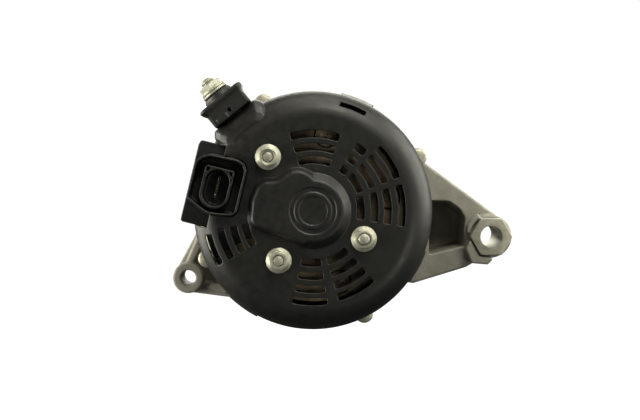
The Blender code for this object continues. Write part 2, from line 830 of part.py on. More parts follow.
def rounded_box(u, t, corner, count=3):
    """Rounded rectangle in the connector's frame, as (x, z) points."""
    corners = ((u[1], t[1], 0), (u[0], t[1], 90), (u[0], t[0], 180), (u[1], t[0], 270))
    points = []
    for cu, ct, start in corners:
        centre = (cu - corner if cu == u[1] else cu + corner, ct - corner if ct == t[1] else ct + corner)
        points += arc(corner, start, start + 90, count, centre)
    return [turned_point(*point) for point in points]


def d_outline(shrink):
    """The inner wall of the connector: flat at one end, half round at the other."""
    radius = 8.05 - shrink
    points = arc(radius, 0, 180, 8, (SOCKET_U, 3.6))
    points += [(SOCKET_U - radius, -10.7 + shrink), (SOCKET_U + radius, -10.7 + shrink)]
    return [turned_point(*point) for point in points]


def make_regulator():
    body = blocks("regulator", [(CONNECTOR_ANGLE, (37, -95.2, -15.6), (54, -76.5, 16.4))], DARK)
    flange = plate("connector_flange", [rounded_box((52, 68.4), (-22.8, 22.5), 3)], -94, -90)
    shroud = plate("connector_shroud", [rounded_box((39.4, 67.4), (-16.9, 14.9), 4)], -105, -92)
    cavity = plate("connector_cavity", [rounded_box((40.9, 65.9), (-15.4, 13.4), 3)], -110, -94)
    inner_wall = plate("connector_inner_wall", [d_outline(0), d_outline(1.5)], -104, -93.5)
    seat = blocks("terminal_seat", [(CONNECTOR_ANGLE, (51.2, -110, -7.2), (55.2, -90.6, 7.2))])
    join(body, flange, shroud)
    cut(body, cavity)
    join(body, inner_wall)
    cut(body, seat)
    pins = blocks(
        "terminal_pins", [(CONNECTOR_ANGLE, (52.6, -98, t - 1), (53.8, -92, t + 1)) for t in (-4.6, 0, 4.6)]
    )
    comb = blocks(
        "connector_terminals", [(CONNECTOR_ANGLE, (52.2, -92.8, -6.6), (54.2, -90.9, 6.6))], TIN
    )
    join(comb, pins)


def make_brushes():
    end = BRUSH_HOLDER_END
    holder = blocks("brush_holder", [(CONNECTOR_ANGLE, (8.6, -100.6, -6.6), (end, -82.2, 6.6))], DARK)
    channels = blocks(
        "brush_channels",
        [(CONNECTOR_ANGLE, (5, y - 2.7, -4.3), (end - 1.8, y + 2.7, 4.3)) for y in RING_Y.values()],
    )
    cut(holder, channels)
    for place, y in RING_Y.items():
        blocks(
            f"brush_{place}",
            [(CONNECTOR_ANGLE, (SLIP_RING_RADIUS + GAP, y - 2.3, -3.9), (BRUSH_END, y + 2.3, 3.9))],
            CARBON,
        )
        make_brush_spring(f"brush_spring_{place}", y)


def make_brush_spring(name, y):
    """Compression spring between a brush's tail and the end of its channel."""
    turns, per_turn, wire, radius = 3, 6, 0.3, 1.9
    first, last = BRUSH_END + GAP + wire, BRUSH_HOLDER_END - 1.8 - GAP - wire
    curve = bpy.data.curves.new(name, "CURVE")
    curve.dimensions = "3D"
    curve.bevel_depth = wire * MM
    curve.bevel_resolution = 2
    curve.use_fill_caps = True
    spline = curve.splines.new("POLY")
    count = turns * per_turn
    spline.points.add(count)
    frame = radial_frame(CONNECTOR_ANGLE)
    for i, point in enumerate(spline.points):
        angle = 2 * pi * i / per_turn
        local = Vector((first + (last - first) * i / count, y + radius * cos(angle), radius * sin(angle)))
        point.co = (*(frame @ (local * MM)), 1)
    coil = bpy.data.objects.new(name + "_curve", curve)
    CUTTERS.objects.link(coil)
    add(name, welded_mesh(coil, name), STEEL)


def make_output_terminal():
    y = TERMINAL_Y
    stud = radial_rod("b_terminal_stud", 3.9, 51, 92, TERMINAL_ANGLE, y, ZINC, 16)
    join(stud, blocks("stud_head", [(TERMINAL_ANGLE, (50, y - 5, -5), (53.4, y + 5, 5))]))
    low, high = y - 10.8, y + 10.8
    seat = BULGE_REACH + 0.4
    insulator = blocks("b_terminal_insulator", [(TERMINAL_ANGLE, (seat, low, -11.8), (76, high, 11.8))], BLACK)
    neck = blocks("insulator_neck", [(TERMINAL_ANGLE, (54, y - 5, -5.1), (seat + 1, y + 5, 5.1))])
    flange = blocks("insulator_flange", [(TERMINAL_ANGLE, (75.4, low - 1.6, -13.8), (79, high - 0.4, 13.8))])
    collar = radial_rod("insulator_collar", 8, 78, 82.4, TERMINAL_ANGLE, y, sides=24)
    bore = radial_rod("insulator_bore", 4.3, 50, 90, TERMINAL_ANGLE, y, sides=16)
    join(insulator, neck, flange, collar)
    cut(insulator, bore)
    washer = radial_rod("b_terminal_washer", 7.2, 82.7, 84, TERMINAL_ANGLE, y, ZINC, 24)
    cut(washer, radial_rod("washer_hole", 4.3, 80, 86, TERMINAL_ANGLE, y, sides=16))
    nut = radial_rod("b_terminal_nut", 7.1, 84.3, 90, TERMINAL_ANGLE, y, ZINC, 6)
    cut(nut, radial_rod("nut_hole", 4.3, 80, 96, TERMINAL_ANGLE, y, sides=16))


def parent_moving_parts():
    """Rotor pieces turn about this empty, which stands on the rotor axis."""
    axis = bpy.data.objects.new("rotor_axis", None)
    PARTS.objects.link(axis)
    turning = (
        "rotor_shaft slip_ring_sleeve slip_ring_rear slip_ring_front rear_claw_pole front_claw_pole "
        "coil_bobbin field_coil rear_fan front_fan front_bearing_inner_race rear_bearing_inner_race "
        "pulley pulley_spacer pulley_nut front_bearing_balls rear_bearing_balls"
    )
    for name in turning.split():
        bpy.data.objects[name].parent = axis


def main():
    make_rear_cover()
    make_cover_fasteners()
    make_rear_end_frame()
    make_drive_end_bracket()
    make_pivot_bush()
    make_through_bolts()
    make_stator()
    make_shaft()
    make_rotor_body()
    make_fans()
    make_bearings()
    make_pulley()
    make_rectifier()
    make_regulator()
    make_brushes()
    make_output_terminal()
    parent_moving_parts()


main()
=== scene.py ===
import json
from math import cos, pi, radians, sin, sqrt, tan

import bmesh
import bpy
from mathutils import Matrix, Vector


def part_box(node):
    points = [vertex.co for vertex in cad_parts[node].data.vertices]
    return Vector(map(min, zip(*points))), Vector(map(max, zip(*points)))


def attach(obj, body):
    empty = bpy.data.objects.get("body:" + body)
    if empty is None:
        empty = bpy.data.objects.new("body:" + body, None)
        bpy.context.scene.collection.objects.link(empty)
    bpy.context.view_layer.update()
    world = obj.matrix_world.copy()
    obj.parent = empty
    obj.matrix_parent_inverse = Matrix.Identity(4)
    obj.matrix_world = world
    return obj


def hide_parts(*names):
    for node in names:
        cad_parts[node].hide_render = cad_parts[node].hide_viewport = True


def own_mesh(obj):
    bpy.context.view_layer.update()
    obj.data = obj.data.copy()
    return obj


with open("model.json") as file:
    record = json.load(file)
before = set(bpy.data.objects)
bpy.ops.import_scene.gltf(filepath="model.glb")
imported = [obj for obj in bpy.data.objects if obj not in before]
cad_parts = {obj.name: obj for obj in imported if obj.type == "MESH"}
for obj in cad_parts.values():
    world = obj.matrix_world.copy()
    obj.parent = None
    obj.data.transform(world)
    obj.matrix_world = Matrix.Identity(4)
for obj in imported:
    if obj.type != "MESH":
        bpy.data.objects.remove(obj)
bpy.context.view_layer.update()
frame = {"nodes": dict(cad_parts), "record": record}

MM = 0.001
COARSE = 1.0
STEPS = 128
CONNECTOR_ANGLE = 166.3
TERMINAL_ANGLE = 129.6
BOLT_ANGLES = (26.5, 115, 205, 296)
TERMINAL_Y = -87.2
SOCKET_U = 53.15
BOLT_CIRCLE = 65.8
FRAME_RADIUS = 65.3
SEAT_RADIUS = 62.8
STATOR_REAR = -54.0
STATOR_FRONT = -18.0
SLOT_COUNT = 18
CLAW_COUNT = 6
WELD = 0.000002


# ---------------- outlines, in millimetres
def arc(radius, first, last, count, centre=(0, 0)):
    angles = [radians(first + (last - first) * i / count) for i in range(count + 1)]
    return [(centre[0] + radius * cos(a), centre[1] + radius * sin(a)) for a in angles]


def circle(radius, centre=(0, 0), count=64):
    return arc(radius, 0, 360, count, centre)[:-1]


def on_circle(radius, angles):
    return [(radius * cos(radians(a)), radius * sin(radians(a))) for a in angles]


def sector(inner, outer, first, last, step=3):
    count = max(2, round(abs(last - first) / step))
    return arc(outer, first, last, count) + arc(inner, last, first, count)


def polygon(flats, sides=6, turn=0, centre=(0, 0)):
    corner = flats / 2 / cos(pi / sides)
    return arc(corner, turn, turn + 360, sides, centre)[:-1]


def area(points):
    return sum(a[0] * b[1] - b[0] * a[1] for a, b in zip(points, points[1:] + points[:1])) / 2


def fillet(points, radius, count=4):
    """Rounds every corner of a closed outline; short edges get a smaller radius."""
    made = []
    total = len(points)
    for i, here in enumerate(points):
        before, after = points[i - 1], points[(i + 1) % total]
        size = radius[i] if isinstance(radius, (list, tuple)) else radius
        back = Vector((before[0] - here[0], before[1] - here[1]))
        ahead = Vector((after[0] - here[0], after[1] - here[1]))
        reach = min(back.length, ahead.length) * 0.48
        if size <= 0 or reach < 1e-4:
            made.append(here)
            continue
        back_unit, ahead_unit = back.normalized(), ahead.normalized()
        half = back_unit.angle(ahead_unit, pi) / 2
        if half > radians(86):
            made.append(here)
            continue
        run = min(size / tan(half), reach)
        true_radius = run * tan(half)
        middle = Vector(here) + (back_unit + ahead_unit).normalized() * (true_radius / sin(half))
        start = Vector(here) + back_unit * run - middle
        end = Vector(here) + ahead_unit * run - middle
        turn = start.angle_signed(end)
        for k in range(count + 1):
            spun = Matrix.Rotation(-turn * k / count, 2) @ start
            made.append((middle.x + spun.x, middle.y + spun.y))
    return made


def even(points, step):
    """The outline again, with points about a step apart."""
    made = []
    for a, b in zip(points, points[1:] + points[:1]):
        length = sqrt((b[0] - a[0]) ** 2 + (b[1] - a[1]) ** 2)
        count = max(1, round(length / step))
        made += [(a[0] + (b[0] - a[0]) * k / count, a[1] + (b[1] - a[1]) * k / count) for k in range(count)]
    return made


def inset(points, distance):
    """Moves an outline inwards, by the mitre of each corner."""
    if abs(distance) < 1e-9:
        return list(points)
    sign = 1 if area(points) > 0 else -1
    made = []
    for i, here in enumerate(points):
        before, after = points[i - 1], points[(i + 1) % len(points)]
        first = Vector((here[0] - before[0], here[1] - before[1])).normalized()
        second = Vector((after[0] - here[0], after[1] - here[1])).normalized()
        normal = Vector((-first.y - second.y, first.x + second.x))
        if normal.length < 1e-6:
            normal = Vector((-first.y, first.x))
        normal.normalize()
        stretch = max(0.5, normal.dot(Vector((-first.y, first.x))))
        made.append((here[0] + sign * distance * normal.x / stretch,
                here[1] + sign * distance * normal.y / stretch))
    return made


# ---------------- solids
def link(name, mesh):
    made = bpy.data.objects.new(name, mesh)
    bpy.context.scene.collection.objects.link(made)
    return made


def solid(name, build):
    shape = bmesh.new()
    build(shape)
    bmesh.ops.remove_doubles(shape, verts=shape.verts, dist=WELD)
    bmesh.ops.recalc_face_normals(shape, faces=shape.faces)
    mesh = bpy.data.meshes.new(name)
    shape.to_mesh(mesh)
    shape.free()
    return link(name, mesh)


def stacked_rings(shape, rings, closed):
    made = [[shape.verts.new(point) for point in ring] for ring in rings]
    pairs = list(zip(made, made[1:] + made[:1] if closed else made[1:]))
    for below, above in pairs:
        count = len(below)
        for i in range(count):
            j = (i + 1) % count
            shape.faces.new((below[i], below[j], above[j], above[i]))
    if not closed:
        shape.faces.new(made[0])
        shape.faces.new(made[-1][::-1])


ALONG_AXIS = Matrix.Identity(4)


def radial_frame(angle):
    """Local X runs outward at this angle, local Y along the rotor axis, local Z sideways."""
    return Matrix.Rotation(-radians(angle), 4, "Y")


def radial_loft(angle):
    """Frame whose outlines are (sideways, along the axis) and whose levels run outward."""
    cycle = Matrix(((0, 1, 0, 0), (0, 0, 1, 0), (1, 0, 0, 0), (0, 0, 0, 1)))
    return radial_frame(angle) @ cycle


def loft(name, outline, levels, matrix=ALONG_AXIS):
    """A plate from an outline; each level is (inset, position along the local Y)."""

    def build(shape):
        rings = []
        for distance, height in levels:
            rings.append([matrix @ (Vector((a, height, b)) * MM) for a, b in inset(outline, distance)])
        stacked_rings(shape, rings, False)

    return solid(name, build)


def roundover(low, high, size, count=3, far=None):
    """Levels of a plate with rounded edges at its low and high ends."""
    far = size if far is None else far
    start = [(size * (1 - sin(pi / 2 * k / count)), low + size * (1 - cos(pi / 2 * k / count)))
            for k in range(count + 1)]
    end = [(far * (1 - sin(pi / 2 * k / count)), high - far * (1 - cos(pi / 2 * k / count)))
           for k in range(count + 1)]
    return (start if size else [(0, low)]) + (end[::-1] if far else [(0, high)])


def turned(name, profile, round_by=0.0, steps=STEPS, matrix=ALONG_AXIS, count=3):
    """Solid of revolution about the local Y axis, from a closed (radius, y) profile."""
    points = profile
    if round_by:
        sizes = [0 if p[0] < 1e-6 else round_by for p in profile]
        points = fillet(profile, sizes, count)
    on_axis = [p[0] < 1e-6 for p in points]
    touches_axis = any(on_axis)
    if touches_axis:
        first = next((i for i, here in enumerate(on_axis) if here and on_axis[i - 1]), on_axis.index(True))
        points = points[first:] + points[:first]

    def build(shape):
        turns = [2 * pi * k / steps for k in range(steps)]
        rings = []
        for r, y in points:
            if r < 1e-6:
                rings.append([shape.verts.new(matrix @ Vector((0, y * MM, 0)))])
            else:
                rings.append([shape.verts.new(matrix @ (Vector((r * cos(a), y, r * sin(a))) * MM))
                    for a in turns])
        last = len(rings) - 1 if touches_axis and len(rings[-1]) == 1 else len(rings)
        for i in range(last):
            below, above = rings[i], rings[(i + 1) % len(rings)]
            if len(below) == 1 and len(above) == 1:
                continue
            for k in range(steps):
                j = (k + 1) % steps
                corners = [below[k % len(below)], below[j % len(below)], above[j % len(above)],
                    above[k % len(above)]]
                unique = []
                for corner in corners:
                    if corner not in unique:
                        unique.append(corner)
                shape.faces.new(unique)

    return solid(name, build)


def tube(name, inner, outer, low, high, round_by=0.3, steps=STEPS, matrix=ALONG_AXIS):
    return turned(name, [(inner, low), (outer, low), (outer, high), (inner, high)], round_by, steps, matrix)


def rods(name, radius, centres, low, high, edge=0.3, count=48):
    made = [loft(f"{name}_{i}", circle(radius, centre, count), roundover(low, high, edge))
            for i, centre in enumerate(centres)]
    return join_meshes(name, made)


def block(name, angle, low, high, corner=0.5, edge=0.4):
    """A rounded box between two corners in a radial frame: outward, along the axis, sideways."""
    outline = [(low[0], low[2]), (high[0], low[2]), (high[0], high[2]), (low[0], high[2])]
    outline = fillet(outline, corner, 4)
    return loft(name, outline, roundover(low[1], high[1], edge), radial_frame(angle))


def join_meshes(name, parts):
    """One object of all the parts' meshes, overlapping or not."""
    shape = bmesh.new()
    for part in parts:
        shape.from_mesh(part.data)
        bpy.data.objects.remove(part)
    mesh = bpy.data.meshes.new(name)
    shape.to_mesh(mesh)
    shape.free()
    return link(name, mesh)


def settle(made):
    """Applies an object's modifiers."""
    graph = bpy.context.evaluated_depsgraph_get()
    mesh = bpy.data.meshes.new_from_object(made.evaluated_get(graph))
    made.modifiers.clear()
    made.data = mesh
    return made


def combine(target, tools, operation):
    for tool in tools:
        modifier = target.modifiers.new(operation.lower(), "BOOLEAN")
        modifier.operation = operation
        modifier.solver = "MANIFOLD"
        modifier.object = tool
    settle(target)
    for tool in tools:
        bpy.data.objects.remove(tool)
    return target


def cut(target, *tools):
    return combine(target, tools, "DIFFERENCE")


def fuse(target, *tools):
    return combine(target, tools, "UNION")


def cast(made, voxel, smooth=3, most=150000):
    """Melts a piece's edges as in a mould: a fine remesh, smoothed, and thinned where it is flat."""
    remesh = made.modifiers.new("remesh", "REMESH")
    remesh.mode = "VOXEL"
    remesh.voxel_size = voxel * MM * COARSE
    remesh.adaptivity = 0
    soften = made.modifiers.new("soften", "SMOOTH")
    soften.factor = 0.5
    soften.iterations = smooth
    settle(made)
    triangles = 2 * len(made.data.polygons)
    if triangles > most:
        thin = made.modifiers.new("thin", "DECIMATE")
        thin.ratio = most / triangles
        settle(made)
    made.data.shade_smooth()
    return made


def crisp(made, angle=32):
    """Smooth shading with sharp edges past an angle."""
    made.data.shade_smooth()
    made.data.set_sharp_from_angle(angle=radians(angle))
    return made


def bevelled(made, width, segments=2, angle=35):
    modifier = made.modifiers.new("bevel", "BEVEL")
    modifier.width = width * MM
    modifier.segments = segments
    modifier.limit_method = "ANGLE"
    modifier.angle_limit = radians(angle)
    settle(made)
    return crisp(made, 40)


def thread(name, radius, pitch, low, high, matrix=ALONG_AXIS, sides=40, chamfer=0.8):
    """A screwed rod along the local Y axis: a helical ridge with tapered ends, closed at both ends."""
    depth = pitch * 0.5

    def build(shape):
        turns = (high - low) / pitch
        rows = 8
        grid = []
        total = int(turns * rows)
        for row in range(total + 1):
            height = low + (high - low) * row / total
            ring = []
            for k in range(sides):
                phase = (height - low) / pitch - k / sides
                wave = abs((phase % 1) * 2 - 1)
                here = radius - depth * (1 - wave)
                end = min(height - low, high - height)
                if end < chamfer:
                    here = min(here, radius - depth * 1.05 + end + 0.001 * wave)
                angle = 2 * pi * k / sides
                ring.append(matrix @ (Vector((here * cos(angle), height, here * sin(angle))) * MM))
            grid.append(ring)
        stacked_rings(shape, grid, False)

    return solid(name, build)


def hexagon_head(name, flats, low, high, matrix=ALONG_AXIS, turn=0, both=False):
    """A hexagon with its corners turned off at the low end, or at both ends."""
    body = loft(name, even(polygon(flats, 6, turn), flats / 8), [(0, low), (0, high)], matrix)
    corner = flats / 2 / cos(pi / 6)
    drop = 0.42 * (corner - flats / 2) + 0.35
    profile = [(0, low - 0.001), (flats / 2 - 0.3, low - 0.001), (corner + 0.05, low + drop)]
    profile += [(corner + 0.05, high - drop), (flats / 2 - 0.3, high + 0.001)] if both else [(corner + 0.05,
            high + 0.001)]
    profile.append((0, high + 0.001))
    cone = turned(name + "_turned", profile, 0, 96, matrix)
    return combine(body, [cone], "INTERSECT")


def at(x, z, y=0):
    return Matrix.Translation(Vector((x, y, z)) * MM)


# ---------------- materials
def add_node(tree, kind, **values):
    """A new shader node, with its inputs set by name."""
    made = tree.nodes.new("ShaderNode" + kind)
    for name, value in values.items():
        made.inputs[name.replace("_", " ")].default_value = value
    return made


def surface(name, dark, light, rough, metallic=0.0, blotch=0.12, grain=3.0, bump=0.2, depth=0.05,
            speckle=None, edge=None, stretch=(1, 1, 1), upward_dust_and_sheen=None):
    """Mottled colour and roughness, and a fine grain in the surface. Scales are per millimetre."""
    made = bpy.data.materials.new(name)
    made.use_nodes = True
    tree, links = made.node_tree, made.node_tree.links
    shader = tree.nodes["Principled BSDF"]
    shader.inputs["Metallic"].default_value = metallic
    place = add_node(tree, "TexCoord")
    mapping = add_node(tree, "Mapping", Scale=stretch)
    links.new(place.outputs["Object"], mapping.inputs["Vector"])

    def noise(scale, detail=3, roughness=0.55):
        node = add_node(tree, "TexNoise", Scale=scale * 1000, Detail=detail, Roughness=roughness)
        links.new(mapping.outputs["Vector"], node.inputs["Vector"])
        return node.outputs["Fac"]

    def spread(value, low, high, to_low, to_high):
        node = add_node(tree, "MapRange", From_Min=low, From_Max=high, To_Min=to_low, To_Max=to_high)
        links.new(value, node.inputs["Value"])
        return node.outputs["Result"]

    def mix(factor, first, second):
        node = add_node(tree, "Mix")
        node.data_type = "RGBA"
        links.new(factor, node.inputs[0])
        for socket, value in ((node.inputs[6], first), (node.inputs[7], second)):
            if isinstance(value, tuple):
                socket.default_value = (*value, 1)
            else:
                links.new(value, socket)
        return node.outputs[2]

    patches = noise(blotch, 4, 0.6)
    colour = mix(spread(patches, 0.35, 0.65, 0, 1), dark, light)
    if speckle:
        tint, scale, low = speckle
        colour = mix(spread(noise(scale, 2), low, low + 0.08, 0, 1), colour, tint)
    # Faces turned up get a lighter tint: part settled dust, part painted sheen standing in for the top light.
    if upward_dust_and_sheen:
        tint, amount = upward_dust_and_sheen
        geometry = add_node(tree, "NewGeometry")
        split = add_node(tree, "SeparateXYZ")
        links.new(geometry.outputs["Normal"], split.inputs[0])
        dust_and_sheen_mask = add_node(tree, "Math")
        dust_and_sheen_mask.operation = "MULTIPLY"
        links.new(spread(split.outputs["Z"], 0.0, 0.9, 0, amount), dust_and_sheen_mask.inputs[0])
        links.new(spread(noise(blotch * 2.5, 4, 0.7), 0.35, 0.7, 0.2, 1), dust_and_sheen_mask.inputs[1])
        colour = mix(dust_and_sheen_mask.outputs[0], colour, tint)
    if edge:
        tint, low, high = edge
        geometry = add_node(tree, "NewGeometry")
        colour = mix(spread(geometry.outputs["Pointiness"], low, high, 0, 1), colour, tint)
    links.new(colour, shader.inputs["Base Color"])
    links.new(spread(noise(blotch * 3, 3), 0.3, 0.7, *rough), shader.inputs["Roughness"])
    relief = add_node(tree, "Bump", Strength=bump, Distance=depth * MM)
    links.new(noise(grain, 3, 0.6), relief.inputs["Height"])
    links.new(relief.outputs["Normal"], shader.inputs["Normal"])
    return made


def turned_metal(name, colour, light, rough, pitch=0.25):
    """Metal with fine rings round the rotor axis, as a lathe leaves."""
    made = surface(name, colour, light, rough, 1.0, grain=1.2, bump=0.05)
    tree, links = made.node_tree, made.node_tree.links
    shader = tree.nodes["Principled BSDF"]
    old = shader.inputs["Normal"].links[0].from_socket
    place = add_node(tree, "TexCoord")
    wave = add_node(tree, "TexWave", Scale=1000 / pitch / 20, Distortion=0.4)
    wave.wave_type = "RINGS"
    wave.rings_direction = "Y"
    links.new(place.outputs["Object"], wave.inputs["Vector"])
    relief = add_node(tree, "Bump", Strength=0.12, Distance=0.03 * MM)
    links.new(wave.outputs["Fac"], relief.inputs["Height"])
    links.new(old, relief.inputs["Normal"])
    links.new(relief.outputs["Normal"], shader.inputs["Normal"])
    return made


MATERIALS = {
    "cast_housing": surface("cast_housing", (0.225, 0.214, 0.180), (0.29, 0.277, 0.238), (0.52, 0.68), 0.25,
        blotch=0.10, grain=2.2, bump=0.35, depth=0.09, speckle=((0.12, 0.11, 0.09), 1.1, 0.66),
        edge=((0.36, 0.35, 0.31), 0.53, 0.60)),
    "black_cover": surface("black_cover", (0.0028, 0.0027, 0.0020), (0.0048, 0.0046, 0.0035), (0.40, 0.52),
        blotch=0.08, grain=2.6, bump=0.16, depth=0.05, speckle=((0.05, 0.045, 0.036), 1.6, 0.70),
        # Lighter tint on upward faces: settled dust and a painted top-light sheen.
        upward_dust_and_sheen=((0.012, 0.011, 0.009), 0.45)),
    "connector_plastic": surface("connector_plastic", (0.0020, 0.0019, 0.0014), (0.0040, 0.0038, 0.0030),
        (0.40, 0.54), blotch=0.1, grain=3.0, bump=0.12, speckle=((0.03, 0.028, 0.022), 1.5, 0.72)),
    "terminal_boot": surface("terminal_boot", (0.0030, 0.0029, 0.0022), (0.0060, 0.0058, 0.0046),
        (0.46, 0.60), blotch=0.12, grain=2.5, bump=0.2, speckle=((0.05, 0.045, 0.035), 1.4, 0.70)),
    "bobbin_plastic": surface("bobbin_plastic", (0.30, 0.25, 0.16), (0.40, 0.34, 0.23), (0.4, 0.55)),
    "zinc_fastener": surface("zinc_fastener", (0.34, 0.33, 0.26), (0.45, 0.44, 0.36), (0.42, 0.56), 0.7,
        blotch=0.35, grain=0.9, bump=0.10, speckle=((0.26, 0.24, 0.18), 1.0, 0.70)),
    "bearing_steel": surface("bearing_steel", (0.50, 0.50, 0.51), (0.62, 0.62, 0.63), (0.16, 0.28), 1.0,
        grain=1.5, bump=0.05),
    "pulley_steel": turned_metal("pulley_steel", (0.10, 0.10, 0.105), (0.20, 0.20, 0.21), (0.30, 0.42)),
    "fan_steel": surface("fan_steel", (0.38, 0.38, 0.38), (0.52, 0.52, 0.51), (0.30, 0.42), 1.0, grain=1.2,
        bump=0.1),
    "pole_iron": surface("pole_iron", (0.07, 0.062, 0.056), (0.13, 0.115, 0.10), (0.42, 0.58), 0.7, grain=1.4,
        bump=0.3, depth=0.08, speckle=((0.16, 0.07, 0.035), 0.7, 0.66)),
    "lamination_steel": surface("lamination_steel", (0.15, 0.14, 0.13), (0.25, 0.235, 0.22), (0.42, 0.58),
        0.8, grain=1.2, bump=0.35, stretch=(0.4, 3.0, 0.4), speckle=((0.16, 0.08, 0.04), 0.5, 0.66)),
    "enamelled_copper": surface("enamelled_copper", (0.30, 0.075, 0.018), (0.52, 0.17, 0.05), (0.25, 0.45),
        0.85, grain=0.8, bump=0.3, depth=0.2, stretch=(0.25, 1, 0.25)),
    "ring_copper": turned_metal("ring_copper", (0.62, 0.29, 0.15), (0.74, 0.38, 0.21), (0.2, 0.3)),
    "brush_carbon": surface("brush_carbon", (0.022, 0.022, 0.022), (0.04, 0.04, 0.04), (0.5, 0.65), 0.1,
        grain=3.0, bump=0.3),
    # Darker than tinned metal: painted shade for the pins deep in the connector socket.
    "tinned_terminal": surface("tinned_terminal", (0.24, 0.22, 0.17), (0.34, 0.31, 0.25), (0.32, 0.44), 1.0,
        grain=1.4, bump=0.06),
    # Dark colour paints the shade under the rear cover onto the rectifier fins.
    "rectifier_fin": surface("rectifier_fin", (0.050, 0.036, 0.022), (0.15, 0.118, 0.076), (0.45, 0.62), 0.35,
        blotch=0.06, grain=1.6, bump=0.2, speckle=((0.16, 0.09, 0.05), 0.5, 0.64)),
}
SLOT_OF = {row["node"]: row["material_slot"] for row in frame["record"]["subparts"]}
BODY_OF = {node: body for body, members in frame["record"]["behaviour"]["bodies"].items() for node in members}


def finished(made, *nodes, slot=None, body=None):
    """Gives a piece the finish and the body of the CAD nodes it stands for."""
    slot = slot or SLOT_OF[nodes[0]]
    made.data.materials.clear()
    made.data.materials.append(MATERIALS[slot])
    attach(made, body or BODY_OF[nodes[0]])
    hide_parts(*nodes)
    return made


# ---------------- rear cover
STUD_CENTRES = ((-24.0, 28.8), (-18.3, -26.5), (27.2, -15.0))
SLOT_SECTORS = (
    (-10, 16.6, (25.7, 33.2, 40.2, 47.7)),
    (21.4, 44, (27.3, 34.3, 41.3, 48.2)),
    (48, 57, (27.3, 34.3, 41.3)),
    (70, 107, (27.3, 34.3, 41.3)),
    (191, 210, (37.0, 43.5, 50.5)),
    (257, 279, (27.9, 35.0, 42.0, 48.7)),
    (286, 311, (27.9, 34.8, 41.8, 48.2)),
)
BUMP_ANGLES = (68, -28, 234)
SHROUD = (
    (67.3, -10.7), (64.5, -14.2), (60.0, -16.6), (45.0, -17.0), (41.0, -15.4), (39.2, -12.2),
    (39.2, 10.0), (41.0, 12.8), (47.0, 14.1), (54.5, 14.9), (59.2, 13.1), (67.4, 9.2),
)


def terminal_bulge(rim):
    """The rounded swelling of the cover around the output terminal."""
    levels = (
        (rim, 61.2, 67.0, 16.4), (-84, 61.2, 67.0, 16.4), (-90, 60.0, 66.8, 16.3), (-93.6, 58.0, 66.0, 15.8),
        (-96.4, 56.5, 63.8, 14.6), (-98.2, 55, 60.5, 12.6), (-99.2, 54, 57.0, 10),
    )
    frame_out = radial_frame(TERMINAL_ANGLE)

    def build(shape):
        rings = []
        for y, root, reach, half in levels:
            corners = [(root, -half), (reach - 3.2, -half), (reach, 2.6 - half)]
            pad = fillet(corners + [(u, -t) for u, t in reversed(corners)], 2.2, 4)
            rings.append([frame_out @ (Vector((u, y, t)) * MM) for u, t in pad])
        stacked_rings(shape, rings, False)

    return solid("terminal_bulge", build)


